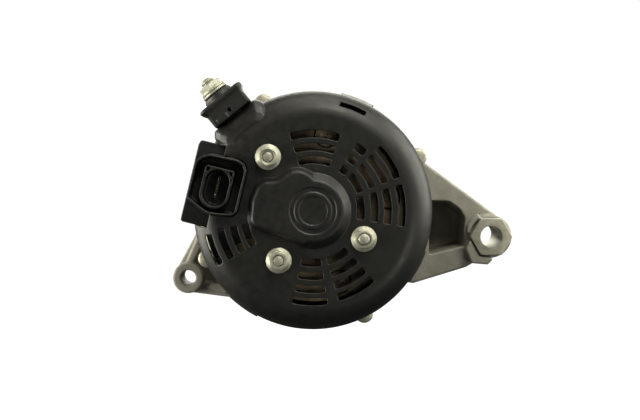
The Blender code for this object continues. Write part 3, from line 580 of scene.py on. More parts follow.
def make_rear_cover():
    low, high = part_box("rear_cover")
    face, rim, boss = -100.0, high.y / MM, low.y / MM
    radius, wall, shoulder = 64.8, 2.2, 14

    def curve(size, start, angles):
        """Points of the shoulder's quarter round."""
        return [(radius - shoulder + size * sin(radians(a)), start + size * (1 - cos(radians(a))))
                for a in angles]

    profile = [(0, face), *curve(shoulder, face, range(0, 91, 6)), (radius, rim), (radius - wall, rim)]
    profile += curve(shoulder - wall, face + wall, range(90, -1, -6))
    profile.append((0, face + wall))
    cover = turned("rear_cover_shell", profile, 0, 180)
    slope = [(0, face + 1.2), (0, face - 0.2), (0.5, face - 0.7), (3.6, boss + 0.5), (4.4, boss + 0.1),
            (5.2, boss)]
    gentle = [(0, face + 1.2), (0, face - 0.4), (0.3, face - 1.2), (1.6, boss + 0.8), (2.3, boss + 0.2),
            (3.2, boss)]
    disc = loft("boss_disc", circle(20.2, (0, 0), 120), slope)
    throat = [(-29.3, 16.7), (-33.8, 5.9), (-34.8, -8.4), (-25.6, -11.9), (-4.5, -19.4), (8, -12), (8, 16.7)]
    neck = loft("boss_neck", even(fillet(throat, [7, 7, 7, 5, 1, 5, 5], 6), 1.2), gentle)
    hump = [(-29.4, 2), (-29.4, 17.1), (-19.4, 17.3), (-12.1, 22.4), (-6.6, 23.3), (-1.0, 20.8), (3.5, 16.0),
            (3.5, 2)]
    shoulder_disc = loft("boss_shoulder", even(fillet(hump, [1, 6, 7, 6, 9, 9, 1, 1], 6), 1.2), gentle)
    bumps = []
    for a in BUMP_ANGLES:
        outline = even(sector(59, 65.9, a - 8.2, a + 8.2, 2), 1.2)
        bumps.append(loft(f"bump_{a}", outline, [(0, rim - 0.5), (0, -83), (1.4, -88.5), (2.2, -90)]))
    bulge = terminal_bulge(rim)
    tubes = rods("cover_tubes_fine", 4.75, STUD_CENTRES, face + 1, -84.9, 0)
    fuse(cover, disc, neck, shoulder_disc, *bumps, bulge, tubes)
    room = tube("ring_room", 0, 12.5, boss + 2, face + 8, 0)
    holder_room = block("holder_room", CONNECTOR_ANGLE, (5, boss + 2.8, -7.3), (31.4, -92, 7.3))
    inside = fillet([(48, -15), (61.5, -14.6), (64.8, -11.4), (64.8, 11.0), (61.5, 14.6), (48, 15)], 2, 4)
    depths = [(0, rim + 3), (0, -84), (2, -88), (5, -91)]
    hollow = loft("bulge_hollow", even(inside, 1.5), depths, radial_frame(TERMINAL_ANGLE))
    cut(cover, room, holder_room, hollow)
    fuse(cover, rods("cover_tubes_again", 4.75, STUD_CENTRES, face + 1, -84.9, 0))
    cutters = [rods("stud_holes_fine", 3.4, STUD_CENTRES, face - 6, -83, 0)]
    slots = []
    for first, last, radii in SLOT_SECTORS:
        for r in radii:
            outline = fillet(sector(r - 2, r + 2, first, last), 0.9, 3)
            slots.append(loft(f"slot_{first}_{r}", outline, [(0, face - 2), (0, -88)]))
    slots.append(loft("slot_left", fillet(sector(55.6, 59.4, 193, 210), 0.9, 3), [(0, face - 2), (0, -86)]))
    slots.append(loft("slot_bump", fillet(sector(57.8, 60.2, 61.5, 76), 0.7, 3), [(0, face - 2), (0, -88)]))
    cutters.append(join_meshes("slots", slots))
    u_frame = radial_frame(CONNECTOR_ANGLE)
    cutters.append(loft("shroud_opening", even(inset(list(SHROUD), -0.35), 2), [(0, -112), (0, -81)],
            u_frame))
    cutters.append(block("flange_opening_fine", CONNECTOR_ANGLE, (53.3, -112, -22.95), (76, -82, 22.55), 0.4,
            0))
    cutters.append(block("terminal_opening_fine", TERMINAL_ANGLE, (53.5, -92.5, -5.25), (76, -70, 5.25), 0.4,
            0.2))
    cutters.append(turned("roundel_groove", [(9.6, boss - 2), (13, boss - 2), (12.6, boss + 0.45),
            (10, boss + 0.45)], 0, 96))
    cutters.append(turned("roundel_disc", [(0, boss - 2), (8.1, boss - 2), (7.8, boss + 0.35),
            (0, boss + 0.35)], 0, 96))
    cut(cover, *cutters)
    cast(cover, 0.30, 2, 190000)
    finished(cover, "rear_cover")


# For each nut: how far the stud stops below its top, and the radius and depth of its dished end.
NUT_ENDS = {1: (0.8, 4.1, 0.75), 2: (0.25, 3.15, 0.2), 3: (-0.9, 3.6, 0.4)}


def make_cover_fasteners():
    for number in (1, 2, 3):
        low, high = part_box(f"cover_nut_{number}")
        x, z = (low.x + high.x) / 2 / MM, (low.z + high.z) / 2 / MM
        seat, top = high.y / MM, low.y / MM
        place = at(x, z)
        flats = 10 if number == 2 else 9.4
        body = hexagon_head(f"nut_{number}_body", flats, top, seat - 0.8, place, 20 * number)
        flange = turned(f"nut_{number}_flange", [(0, seat - 1.9), (4.4, seat - 1.9), (6.9, seat - 0.9),
                (6.9, seat), (0, seat)], 0.25, 96, place)
        fuse(body, flange)
        tip, rim_radius, depth = NUT_ENDS[number]
        dish = turned(f"nut_{number}_dish", [(0, top - 4), (rim_radius + 0.5, top - 4),
                (rim_radius, top + depth), (3.1, top + depth + 0.1), (3.1, seat + 2), (0, seat + 2)], 0, 64,
                place)
        cut(body, dish)
        bevelled(body, 0.18)
        finished(body, f"cover_nut_{number}")
        stud_low, stud_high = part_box(f"cover_stud_{number}")
        stud = thread(f"cover_stud_{number}_screw", 3.0, 1.0, max(stud_low.y / MM, top + tip),
                stud_high.y / MM, place)
        crisp(stud, 50)
        finished(stud, f"cover_stud_{number}")


# ---------------- connector and regulator
def connector_plate(name, outline, levels):
    return loft(name, even(outline, 1.0), levels, radial_frame(CONNECTOR_ANGLE))


def inner_wall(shrink):
    """The connector's inner wall: flat at one end and half round at the other."""
    points = arc(8.05 - shrink, 0, 180, 20, (SOCKET_U, 3.6))
    points += [(SOCKET_U - 8.05 + shrink, -10.7 + shrink), (SOCKET_U + 8.05 - shrink, -10.7 + shrink)]
    return fillet(points, [0] * 21 + [1.4, 1.4], 5)


def make_regulator():
    mouth = -105
    body = block("regulator_body", CONNECTOR_ANGLE, (37.2, -95, -15.4), (54, -76.7, 16.2), 2, 0.6)
    flange = connector_plate("regulator_flange", fillet([(52, -22.8), (67.4, -22.8), (68.3, -20),
            (68.3, 22.4), (52, 22.4)], 1.6), roundover(-94, -90, 0.5))
    rim = fillet(list(SHROUD), 2.6, 5)
    shroud = connector_plate("regulator_shroud", rim, roundover(mouth, -92, 0.55, far=0))
    fuse(body, flange, shroud)
    inner = connector_plate("regulator_cavity", inset(rim, 1.3),
            [(-0.4, mouth - 3), (-0.25, mouth), (0, mouth + 0.4), (0.25, -93.4)])
    cut(body, inner)
    wall = connector_plate("regulator_wall", inner_wall(0), roundover(mouth + 0.9, -93, 0.45, far=0))
    fuse(body, wall)
    oval = arc(6.5, 0, 180, 16, (SOCKET_U, 3.5)) + arc(6.5, 180, 360, 16, (SOCKET_U, -2.9))
    hole = connector_plate("regulator_bore", oval,
            [(-0.3, mouth - 3), (-0.3, mouth + 0.9), (0, mouth + 1.2), (0.2, -91.6)])
    corners = []
    for side in (-1, 1):
        triangle = [(SOCKET_U + side * 7.1, -9.7), (SOCKET_U + side * 7.1, -6.6),
                (SOCKET_U + side * 4.4, -9.7)]
        corners.append(connector_plate(f"corner_{side}",
                fillet(triangle if side < 0 else triangle[::-1], 0.4), [(0, mouth - 2), (0, mouth + 5)]))
    cut(body, hole, *corners)
    cast(body, 0.26, 2, 180000)
    finished(body, "regulator")
    comb = block("comb", CONNECTOR_ANGLE, (52.4, -91.9, -6.2), (54.0, -90.9, 6.2), 0.4, 0.2)
    pins = [block(f"pin_{t}", CONNECTOR_ANGLE, (52.85, -97, t - 0.9), (53.5, -91.5, t + 0.9), 0.2, 0.2)
            for t in (-4.6, 0, 4.6)]
    finished(crisp(fuse(comb, *pins)), "connector_terminals")


# ---------------- output terminal
def make_output_terminal():
    y = TERMINAL_Y
    frame_out = radial_loft(TERMINAL_ANGLE)
    stand = radial_frame(TERMINAL_ANGLE) @ at(0, 0, y) @ Matrix.Rotation(-pi / 2, 4, "Z")

    def side(t, h, radius=1.5):
        return even(fillet([(-t, y - h), (t, y - h), (t, y + h), (-t, y + h)], radius, 5), 1.0)

    neck = loft("boot_neck", side(5.1, 5), [(0, 54), (0, 68)], frame_out)
    body = loft("boot_body", side(12.0, 10.6, 1.6),
            [(0.35, 67.2), (0, 67.6), (0, 74.2), (-0.5, 75.4), (-1.3, 76.6), (-1.8, 77.4), (-1.8, 78.0),
             (-1.3, 78.7), (-0.3, 79.1)], frame_out)
    collar = turned("boot_collar", [(0, 77), (8.6, 77), (8.5, 80.6), (7.9, 81.9), (6.6, 82.6), (0, 82.6)],
            0.4, 72, stand)
    ridge = loft("boot_ridge", even(fillet([(2.5, y - 11.4), (9, y - 11.4), (9, y - 8), (2.5, y - 8)], 0.5),
            1), roundover(67.4, 70.4, 0.4), frame_out)
    fuse(body, neck, collar, ridge)
    bore = tube("boot_bore", 0, 4.3, 50, 90, 0, 48, stand)
    vent = tube("boot_vent", 0, 1.15, y - 14, y - 7.5, 0, 32,
            radial_frame(TERMINAL_ANGLE) @ at(70.2, 0))
    cut(body, bore, vent)
    cast(body, 0.3, 3, 120000)
    finished(body, "b_terminal_insulator")
    screw = thread("output_stud", 3.95, 1.25, 60, 90.8, stand, 48, 1.0)
    tip = turned("output_stud_tip", [(0, 88), (3.1, 88), (3.1, 90.6), (2.3, 91.7), (1.2, 92), (0, 92)], 0, 48,
            stand)
    shank = tube("output_stud_shank", 0, 3.8, 51, 60.4, 0, 48, stand)
    head = block("output_stud_head", TERMINAL_ANGLE, (50, y - 5, -5), (53.4, y + 5, 5), 0.8, 0.5)
    fuse(screw, shank, head, tip)
    finished(crisp(screw, 50), "b_terminal_stud")
    washer = tube("output_washer", 4.3, 7.6, 82.7, 84, 0.3, 96, stand)
    finished(crisp(washer), "b_terminal_washer")
    nut = hexagon_head("output_nut", 12.4, 84.3, 88.6, stand, 0, True)
    flare = turned("output_nut_flare", [(0, 84.3), (7.1, 84.3), (7.1, 85.2), (6.3, 86.2), (0, 86.2)], 0.2, 72,
            stand)
    fuse(nut, flare)
    cut(nut, turned("output_nut_bore", [(0, 80), (4.3, 80), (4.3, 87.8), (4.9, 88.7), (4.9, 96), (0, 96)], 0,
            64, stand))
    finished(bevelled(nut, 0.15), "b_terminal_nut")


# ---------------- castings
BOLT_CENTRES = on_circle(BOLT_CIRCLE, BOLT_ANGLES)
PIVOT = (101.2, -15.7)
ADJUST = (-72.7, -40.5)


def blended_block(name, outline, low, high, matrix=ALONG_AXIS, edge=1.0, corner=1.5):
    return loft(name, even(fillet(outline, corner, 5), 1.5), roundover(low, high, edge), matrix)


def make_drive_end_bracket():
    profile = [
        (FRAME_RADIUS, -26), (FRAME_RADIUS, -6), (61, 8), (57, 12), (31, 12), (30, 15.8), (20, 15.8),
        (20, 14.3),
        (23.8, 14.3), (23.8, -0.8), (31.5, -0.8), (31.5, 8), (56, 8), (60.2, -2), (60.2, -17.7),
        (SEAT_RADIUS, -17.7), (SEAT_RADIUS, -26),
    ]
    bracket = turned("bracket_barrel", fillet(profile, 1.0, 4), 0, 180)
    extra = [rods("bracket_bosses", 5.2, BOLT_CENTRES, -25.6, -4, 0.8)]
    root = arc(63.8, -41, 35, 24)
    arm = root + [(66.2, 25.3)] + arc(12.2, 56, -100, 30, PIVOT) + [(88.4, -33.9), (58, -43.2)]
    extra.append(loft("pivot_arm_slab", arm, roundover(-38, -0.6, 1.2)))
    extra.append(loft("pivot_boss", circle(12.2, PIVOT, 72), roundover(-49, 0, 1.2)))
    lug = [(88.9, -18), (87, -23), (90, -30.8), (99.5, -31.6), (102.2, -28.8), (101.6, -27.2), (94.6, -26.7),
           (90.9, -19.5), (90.4, -18.2)]
    extra.append(blended_block("pivot_lug", lug, -52.5, -30, edge=0.8, corner=1.2))
    collar = arc(14.6, 118, 172, 12, PIVOT) + arc(11.8, 172, 118, 12, PIVOT)
    extra.append(loft("bush_collar", collar, roundover(-51.5, -40, 0.7)))
    ear = arc(63.8, 230, 188, 14) + [(-66.4, -10.5)] + arc(9, 163, 272, 24, ADJUST) + [(-46.8, -52.8)]
    extra.append(loft("adjusting_slab", ear, roundover(-22, -3, 1.0)))
    extra.append(loft("adjusting_boss", circle(9, ADJUST, 60), roundover(-31, 0, 1.0)))
    web = [(-50, -50.5), (-66, -46), (-62, -42), (-48, -46)]
    extra.append(blended_block("adjusting_rib", web, -27, -12, edge=1.2, corner=1.4))
    extra.append(blended_block("adjusting_rib_upper",
            [(-62, -16), (-66.5, -13.5), (-75.5, -34), (-71.5, -35.5)], -26.5, -12, edge=1.2, corner=1.4))
    for a in (0, 60, 120, 180, 240, 300):
        extra.append(block(f"spoke_{a}", a + 30, (31, 10.4, -2.6), (55, 13.4, 2.6), 1, 0.8))
    fuse(bracket, *extra)
    pocket = [(67.0, 4.6), (78.4, 4.4), (84.6, 0), (88, -5.5), (87.2, -14), (87.6, -21.6), (67.0, -26.6)]
    cutters = [
        tube("bracket_seat", 40, SEAT_RADIUS + 0.1, -60, -17.6, 0, 180),
        loft("pocket", even(fillet(pocket, [1, 4, 5, 4, 3, 1.2, 1], 5), 1.5),
             [(-0.4, -60), (-0.4, -38.2), (0, -37.4), (1.0, -10), (1.6, -8)]),
        loft("pivot_bore", circle(8.5, PIVOT, 64), [(0, -60), (0, 6)]),
        loft("adjusting_bore", circle(4.4, ADJUST, 48), [(-1.5, -33), (0, -30.2), (0, -0.8), (-1.5, 1)]),
        rods("bracket_bolt_holes", 2.8, BOLT_CENTRES, -60, -5.5, 0),
        rods("retainer_holes", 2.3, on_circle(27.6, (90, 210, 330)), -5, 6.5, 0),
        join_meshes("front_windows", [loft(f"front_window_{a}", fillet(sector(36, 53, a - 20, a + 20), 3, 5),
            [(0, 5), (0, 18)]) for a in range(0, 360, 60)]),
        join_meshes("side_windows", [block(f"side_window_{a}", a, (54, -8, -5.5), (75, 3, 5.5), 0.2, 1.5)
            for a in (50, 80, 138, 165, 258, 320)]),
    ]
    cut(bracket, *cutters)
    cast(bracket, 0.5, 4, 190000)
    finished(bracket, "drive_end_bracket")


def make_rear_end_frame():
    profile = [
        (21.5, -80.6), (21.5, -76), (60.5, -76), (60.5, -63), (FRAME_RADIUS, -57.5), (FRAME_RADIUS, -46),
        (SEAT_RADIUS, -46),
        (SEAT_RADIUS, -54.3), (58.8, -54.3), (58.8, -72.5), (21.5, -72.5), (21.5, -67.6), (17.8, -67.6),
        (17.8, -80.6),
    ]
    casting = turned("rear_frame_barrel", fillet(profile, 0.9, 4), 0, 180)
    fuse(casting, rods("rear_pillars", 5.6, STUD_CENTRES, -81.8, -75, 0.5),
         rods("rear_bosses", 5.2, BOLT_CENTRES, -57.9, -46.4, 0.8),
         *[block(f"rear_rib_{a}", a, (21, -78.2, -1.3), (58, -75, 1.3), 0.5, 0.8)
           for a in (30, 72, 145, 215, 262, 335)])
    windows = [sector(26, 31, a - 15, a + 15) for a in (15, 90, 280)] + [sector(43, 55, a - 16, a + 16)
            for a in (10, 55, 100, 260, 305)]
    cut(casting,
        tube("rear_seat", 40, SEAT_RADIUS + 0.1, -54.4, -40, 0, 180),
        rods("rear_stud_holes", 3.3, STUD_CENTRES, -90, -70, 0),
        rods("rear_head_seats", 5.25, BOLT_CENTRES, -75, -58, 0),
        rods("rear_bolt_holes", 2.8, BOLT_CENTRES, -60, -44, 0),
        join_meshes("rear_windows", [loft(f"rear_window_{i}", fillet(w, 1.8, 4), [(0, -80), (0, -70)])
            for i, w in enumerate(windows)]),
        join_meshes("rear_side_windows", [block(f"rear_side_window_{a}", a, (55, -71.5, -7), (70, -61, 7),
            0.2, 1.5) for a in (5, 50, 90, 160, 230, 270, 320)]))
    cast(casting, 0.5, 4, 150000)
    finished(casting, "rear_end_frame")


def make_pivot_bush():
    place = at(*PIVOT)
    bush = tube("bush_sleeve", 6.2, 8.2, -51, -0.4, 0.3, 96, place)
    head = loft("bush_hexagon", even(fillet(polygon(20.8, 6, 0, PIVOT), 1.6, 4), 1.2),
            roundover(-54, -49.3, 0.5))
    cut(head, turned("bush_head_bore", [(0, -60), (7.2, -60), (6.2, -53.2), (6.2, -40), (0, -40)], 0, 96,
            place))
    fuse(bush, head)
    finished(crisp(bush, 30), "pivot_bush")


def make_through_bolts():
    for number, (x, z) in enumerate(on_circle(BOLT_CIRCLE, BOLT_ANGLES), 1):
        place = at(x, z)
        bolt = hexagon_head(f"bolt_{number}_head", 8, -63.4, -59, place, 15 * number)
        flange = turned(f"bolt_{number}_flange", [(0, -60.2), (4.0, -60.2), (4.9, -59.2), (4.9, -58.3),
                (0, -58.3)], 0.2, 64, place)
        shank = tube(f"bolt_{number}_shank", 0, 2.45, -58.8, -25, 0, 40, place)
        screw = thread(f"bolt_{number}_screw", 2.5, 0.8, -26, -7, place, 32, 0.6)
        fuse(bolt, flange, shank, screw)
        finished(crisp(bolt, 40), f"through_bolt_{number}")


# ---------------- stator
def make_stator():
    sheets = []
    y = STATOR_REAR
    pitch = 0.9
    while y < STATOR_FRONT - 0.05:
        sheets += [(62.5, y + 0.12), (62.5, y + 0.78), (62.25, y + pitch), (62.25, y + 1.02)]
        y += pitch
    sheets = [(r, min(level, STATOR_FRONT)) for r, level in sheets if level <= STATOR_FRONT + 0.1]
    profile = [(56.6, STATOR_REAR), (62.2, STATOR_REAR)] + sheets + [(56.6, STATOR_FRONT)]
    core = turned("stator_stack", profile, 0, 160)
    teeth = []
    for i in range(SLOT_COUNT):
        middle = i * 20
        outline = arc(57.2, middle - 4.9, middle + 4.9, 4) + arc(50.4, middle + 5.1, middle - 5.1, 6)
        teeth.append(loft(f"tooth_{i}", outline, roundover(-54, -18, 0.2)))
    fuse(core, join_meshes("teeth", teeth))
    finished(crisp(core, 40), "stator_core")
    strands = []
    for low, high, side in ((-69.5, -56.4, -1), (-15.7, -3.2, 1)):
        crown = low if side < 0 else high
        foot = high if side < 0 else low
        for i in range(SLOT_COUNT):
            for layer in range(4):
                start = i * 20 + 10 + (layer - 1.5) * 3.6
                name = f"turn_{side}_{i}_{layer}"
                strands.append(end_turn(name, start, 60 - layer * 4, 52.0 + layer * 1.75, foot, crown))
    bars = [
        block(f"bar_{i}", (i + 0.5) * 20, (52.2, -57.5, -2.6), (55.9, -14.6, 2.6), 0.8, 0.5)
        for i in range(SLOT_COUNT)
    ]
    ring_rear = turned("turns_rear_core", [(51.9, -57), (51.9, -67), (53.4, -68.4), (56, -68.4),
            (57.5, -66.4), (57.5, -57)], 0.6, 96)
    ring_front = turned("turns_front_core", [(51.9, -15), (51.9, -5.4), (53.4, -4.4), (56, -4.4), (57.5, -6),
            (57.5, -15)], 0.6, 96)
    winding = join_meshes("winding_strands", strands + bars + [ring_rear, ring_front])
    finished(crisp(winding, 60), "stator_winding")


def wire(name, points, radius, resolution):
    """A round wire along a line of points, given in metres."""
    curve = bpy.data.curves.new(name, "CURVE")
    curve.dimensions = "3D"
    curve.bevel_depth = radius * MM
    curve.bevel_resolution = resolution
    curve.use_fill_caps = True
    spline = curve.splines.new("POLY")
    spline.points.add(len(points) - 1)
    for place, point in zip(spline.points, points):
        place.co = (*point, 1)
    made = link(name + "_curve", curve)
    graph = bpy.context.evaluated_depsgraph_get()
    mesh = bpy.data.meshes.new_from_object(made.evaluated_get(graph))
    bpy.data.objects.remove(made)
    shape = bmesh.new()
    shape.from_mesh(mesh)
    bmesh.ops.remove_doubles(shape, verts=shape.verts, dist=WELD)
    bmesh.ops.recalc_face_normals(shape, faces=shape.faces)
    shape.to_mesh(mesh)
    shape.free()
    return link(name, mesh)


def end_turn(name, start, span, radius, foot, crown):
    """One arch of wire from slot to slot over the end of the stator."""
    count = 14
    points = []
    for k in range(count + 1):
        share = k / count
        angle = radians(start + span * share)
        lift = min(1.0, sin(pi * share) * 1.35)
        r = radius + 0.5 * sin(3 * pi * share)
        points.append((r * cos(angle) * MM, (foot + (crown - foot) * lift * 0.93) * MM, r * sin(angle) * MM))
    return wire(name, points, 0.85, 2)


# ---------------- rotor
def make_shaft():
    body = turned("shaft_bar", [
        (0, -99), (4.6, -99), (5, -98.4), (5, -82), (7.2, -81.4), (7.2, -66.5), (8.8, -65.5), (8.8, -1),
        (8.2, -0.4), (8.2, 33),
        (7.4, 33.8), (7.4, 38), (0, 38)], 0.15, 96)
    screw = thread("shaft_screw", 7.6, 1.5, 37, 58, ALONG_AXIS, 64, 1.2)
    fuse(body, screw)
    socket = loft("shaft_socket", even(polygon(6, 6, 0), 1), [(0, 52), (0, 57), (-0.6, 58.5)])
    cut(body, socket)
    finished(crisp(body, 35), "rotor_shaft")
    for place in ("rear", "front"):
        low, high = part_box(f"slip_ring_{place}")
        band = tube(f"ring_{place}", 6.35, 7.4, low.y / MM, high.y / MM, 0.25, 96)
        finished(crisp(band), f"slip_ring_{place}")


def make_claw_pole(node, back, inner_face, hub_end, tip, turn):
    direction = 1 if inner_face > back else -1
    low, high = sorted((back, inner_face))
    low += 0.3 if direction > 0 else 1
    high -= 1 if direction > 0 else 0.3
    profile = [(9.1, back), (33, back), (33, inner_face), (18, inner_face), (18, hub_end), (9.1, hub_end)]
    pole = turned(node + "_hub", profile, 0.8, 96)
    root = fillet([(41.5, -10.4), (48.5, -10.4), (48.5, 10.4), (41.5, 10.4)], 1.4, 4)
    end = fillet([(45.4, -4.2), (48.5, -4.2), (48.5, 4.2), (45.4, 4.2)], 1.2, 4)
    lobes = []
    for i in range(CLAW_COUNT):
        a = i * 60 + turn
        lobes.append(block(f"{node}_lobe_{i}", a, (26, low, -10.3), (47.8, high, 10.3), 2, 0.8))
        lobes.append(tapered(f"{node}_claw_{i}", root, end, back + direction, tip, radial_frame(a)))
    fuse(pole, *lobes)
    finished(bevelled(pole, 0.35, 2, 40), node)


def tapered(name, first, second, start, end, matrix):
    """A solid from one outline to another along the local Y."""

    def build(shape):
        rings = []
        for share in (0, 0.33, 0.66, 1):
            y = start + (end - start) * share
            ring = [(a[0] + (b[0] - a[0]) * share, y, a[1] + (b[1] - a[1]) * share)
                    for a, b in zip(first, second)]
            rings.append([matrix @ (Vector(point) * MM) for point in ring])
        stacked_rings(shape, rings, False)

    return solid(name, build)


def make_fan(node, disc_low, disc_high, blade_low, blade_high, lean):
    disc = tube(node + "_disc", 22, 44.3, disc_low, disc_high, 0.3, 128)
    blades = []
    for i in range(8):
        middle = i * 45

        def bend(r, offset):
            swing = radians(middle + lean * ((r - 35) / 13) ** 1.2 if r > 35 else middle)
            normal = swing + pi / 2
            return (r * cos(swing) + offset * cos(normal), r * sin(swing) + offset * sin(normal))

        radii = [35 + 1.3 * k for k in range(11)]
        outline = [bend(r, 0.7) for r in radii] + [bend(r, -0.7) for r in reversed(radii)]
        outline = outline if area(outline) > 0 else outline[::-1]
        blades.append(loft(f"{node}_blade_{i}", outline, roundover(blade_low, blade_high, 0.3)))
    fuse(disc, *blades)
    finished(crisp(disc, 40), node)


def make_bearing(name, bore, outer, rear, front, inner_land, outer_land, ball, balls):
    middle = (rear + front) / 2
    finished(crisp(tube(f"{name}_inner", bore, inner_land, rear, front, 0.5, 128)), f"{name}_inner_race")
    finished(crisp(tube(f"{name}_outer", outer_land, outer, rear, front, 0.6, 128)), f"{name}_outer_race")
    track = (inner_land + outer_land) / 2
    reach = ball * 0.8
    cage = tube(f"{name}_cage", track - 0.8, track + 0.8, middle - reach, middle + reach, 0.2, 96)
    set_of_balls = [cage]
    for i, (x, z) in enumerate(on_circle(track, [i * 360 / balls + 4 for i in range(balls)])):
        shape = bmesh.new()
        bmesh.ops.create_uvsphere(shape, u_segments=32, v_segments=16, radius=ball * MM,
                matrix=at(x, z, middle))
        mesh = bpy.data.meshes.new("ball")
        shape.to_mesh(mesh)
        shape.free()
        set_of_balls.append(link(f"{name}_ball_{i}", mesh))
    whole = join_meshes(f"{name}_cage_and_balls", set_of_balls)
    finished(crisp(whole), f"{name}_balls")


def make_pulley():
    pitch, first, radius = 3.56, 22, 28
    root = radius - 2.75
    ribs = [(radius - 0.35, first)]
    for i in range(5):
        start = first + i * pitch
        middle, end = start + pitch / 2, start + pitch
        ribs += [(radius, start + 0.2), (radius, start + 0.55), (root, middle - 0.15)]
        ribs += [(root, middle + 0.15), (radius, end - 0.55), (radius, end - 0.2)]
    profile = [
        (8.5, 17), (16, 17), (24, 18), (29.6, 18), (29.6, first - 1), *ribs, (radius + 1.4, 42.6),
        (radius + 1.4, 45), (radius + 0.4, 46),
        (22, 46), (19, 36), (15, 34), (8.5, 34)]
    body = turned("pulley_wheel", fillet(profile, 0.25, 2), 0, 144)
    finished(crisp(body, 28), "pulley")
    spacer = tube("spacer_ring", 8.5, 12.2, 14.3, 16.7, 0.3, 96)
    finished(crisp(spacer), "pulley_spacer")
    nut = hexagon_head("shaft_nut_out", 24, -47, -35)
    nut.data.transform(Matrix.Diagonal((1, -1, 1, 1)))
    nut.data.flip_normals()
    flange = turned("shaft_nut_flange", [(0, 34.3), (14.6, 34.3), (14.6, 35.6), (12.5, 36.9), (0, 36.9)], 0.3,
            96)
    bore = [(0, 30), (8.6, 30), (8.0, 35), (8.0, 46.2), (8.9, 47.2), (8.9, 50), (0, 50)]
    fuse(nut, flange)
    cut(nut, turned("shaft_nut_bore", bore, 0, 72))
    finished(bevelled(nut, 0.25), "pulley_nut")


# ---------------- rectifier and brush gear
# For each plate: its outer radius, its faces, its clearance holes, and the circle and angles of its diodes.
PLATES = {
    "positive": (49, -94.0, -91.7, 5.3, 41, (10, 80, 290)),
    "negative": (54.4, -84.6, -82.1, 3.4, 46, (45, 253, 325)),
}


def make_rectifier():
    for name, (outer, rear, front, hole, radius, angles) in PLATES.items():
        through = [(0, rear - 2), (0, front + 2)]
        plate = loft(f"{name}_fin", fillet(sector(24, outer, 204, 499.6), 1.2, 3),
                roundover(rear, front, 0.35))
        seats = enumerate(on_circle(radius, angles))
        holes = [loft(f"{name}_hole_{i}", circle(hole, c, 40), through) for i, c in enumerate(STUD_CENTRES)]
        holes += [loft(f"{name}_seat_{i}", circle(6.7, c, 48), through) for i, c in seats]
        cut(plate, join_meshes(f"{name}_holes", holes))
        if name == "positive":
            fuse(plate, block("output_lug", TERMINAL_ANGLE, (46, -93.8, -5), (49.6, -81.8, 5), 1, 0.4))
        else:
            cut(plate, block("output_clearance", TERMINAL_ANGLE, (44.5, -90, -14), (60, -78, 16), 1, 0))
        finished(crisp(plate, 35), f"rectifier_{name}_plate")
        for number in (1, 2, 3):
            node = f"diode_{name}_{number}"
            low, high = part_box(node)
            x, z = (low.x + high.x) / 2 / MM, (low.z + high.z) / 2 / MM
            top, base = low.y / MM, high.y / MM
            profile = [(0, base), (6.3, base), (6.3, top + 3.2), (5.5, top + 2), (3.2, top + 2)]
            profile += [(2.4, top + 1.6), (1, top + 1.3), (1, top), (0, top)]
            can = turned(f"{node}_can", profile, 0.25, 64, at(x, z))
            finished(crisp(can), node)
    ring_block = loft("terminal_ring", fillet(sector(55.4, 59, 206, 468), 1.0, 3),
            roundover(-92.6, -80.4, 0.5))
    angles = (25, 62, 95, 232, 272, 308, 345)
    fingers = [block(f"finger_{a}", a, (51, -91.4, -1.6), (57, -88.4, 1.6), 0.5, 0.4) for a in angles]
    fuse(ring_block, *fingers)
    finished(crisp(ring_block, 35), "rectifier_terminal_block")


def make_brush_gear():
    holder = block("holder_body", CONNECTOR_ANGLE, (8.6, -100.6, -6.6), (31, -82.2, 6.6), 1.2, 0.6)
    channels = []
    for place in ("rear", "front"):
        low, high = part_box(f"brush_{place}")
        y = (low.y + high.y) / 2 / MM
        channels.append(block(f"channel_{place}", CONNECTOR_ANGLE, (5, y - 2.7, -4.3), (29.2, y + 2.7, 4.3),
                0.3, 0.3))
    cut(holder, *channels)
    finished(crisp(holder, 35), "brush_holder")
    for place in ("rear", "front"):
        low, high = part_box(f"brush_{place}")
        y = (low.y + high.y) / 2 / MM
        brush = block(f"carbon_{place}", CONNECTOR_ANGLE, (7.7, y - 2.3, -3.9), (18.6, y + 2.3, 3.9), 0.4,
                0.3)
        finished(crisp(brush), f"brush_{place}")
        spring = make_spring(f"spring_{place}", y)
        finished(spring, f"brush_spring_{place}")
        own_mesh(spring)


def make_spring(name, y):
    """A brush spring, from the brush's tail to the end of its channel."""
    turns, per_turn, radius = 4.5, 28, 1.95
    first, last = 19.2, 28.9
    count = round(turns * per_turn)
    stand = radial_frame(CONNECTOR_ANGLE)
    points = []
    for i in range(count + 1):
        angle = 2 * pi * i / per_turn
        share = i / count
        share -= 0.035 * sin(2 * pi * share)
        local = Vector((first + (last - first) * share, y + radius * cos(angle), radius * sin(angle)))
        points.append(stand @ (local * MM))
    return crisp(wire(name, points, 0.3, 3), 60)


# ---------------- studio
def area_light(name, location, target, size, power, colour=(1, 1, 1), size_y=None):
    lamp = bpy.data.lights.new(name, "AREA")
    lamp.shape = "RECTANGLE"
    lamp.size = size
    lamp.size_y = size_y or size
    lamp.energy = power
    lamp.color = colour
    made = bpy.data.objects.new(name, lamp)
    made.location = location
    made.rotation_euler = (Vector(target) - Vector(location)).to_track_quat("-Z", "Y").to_euler()
    bpy.context.scene.collection.objects.link(made)
    return made


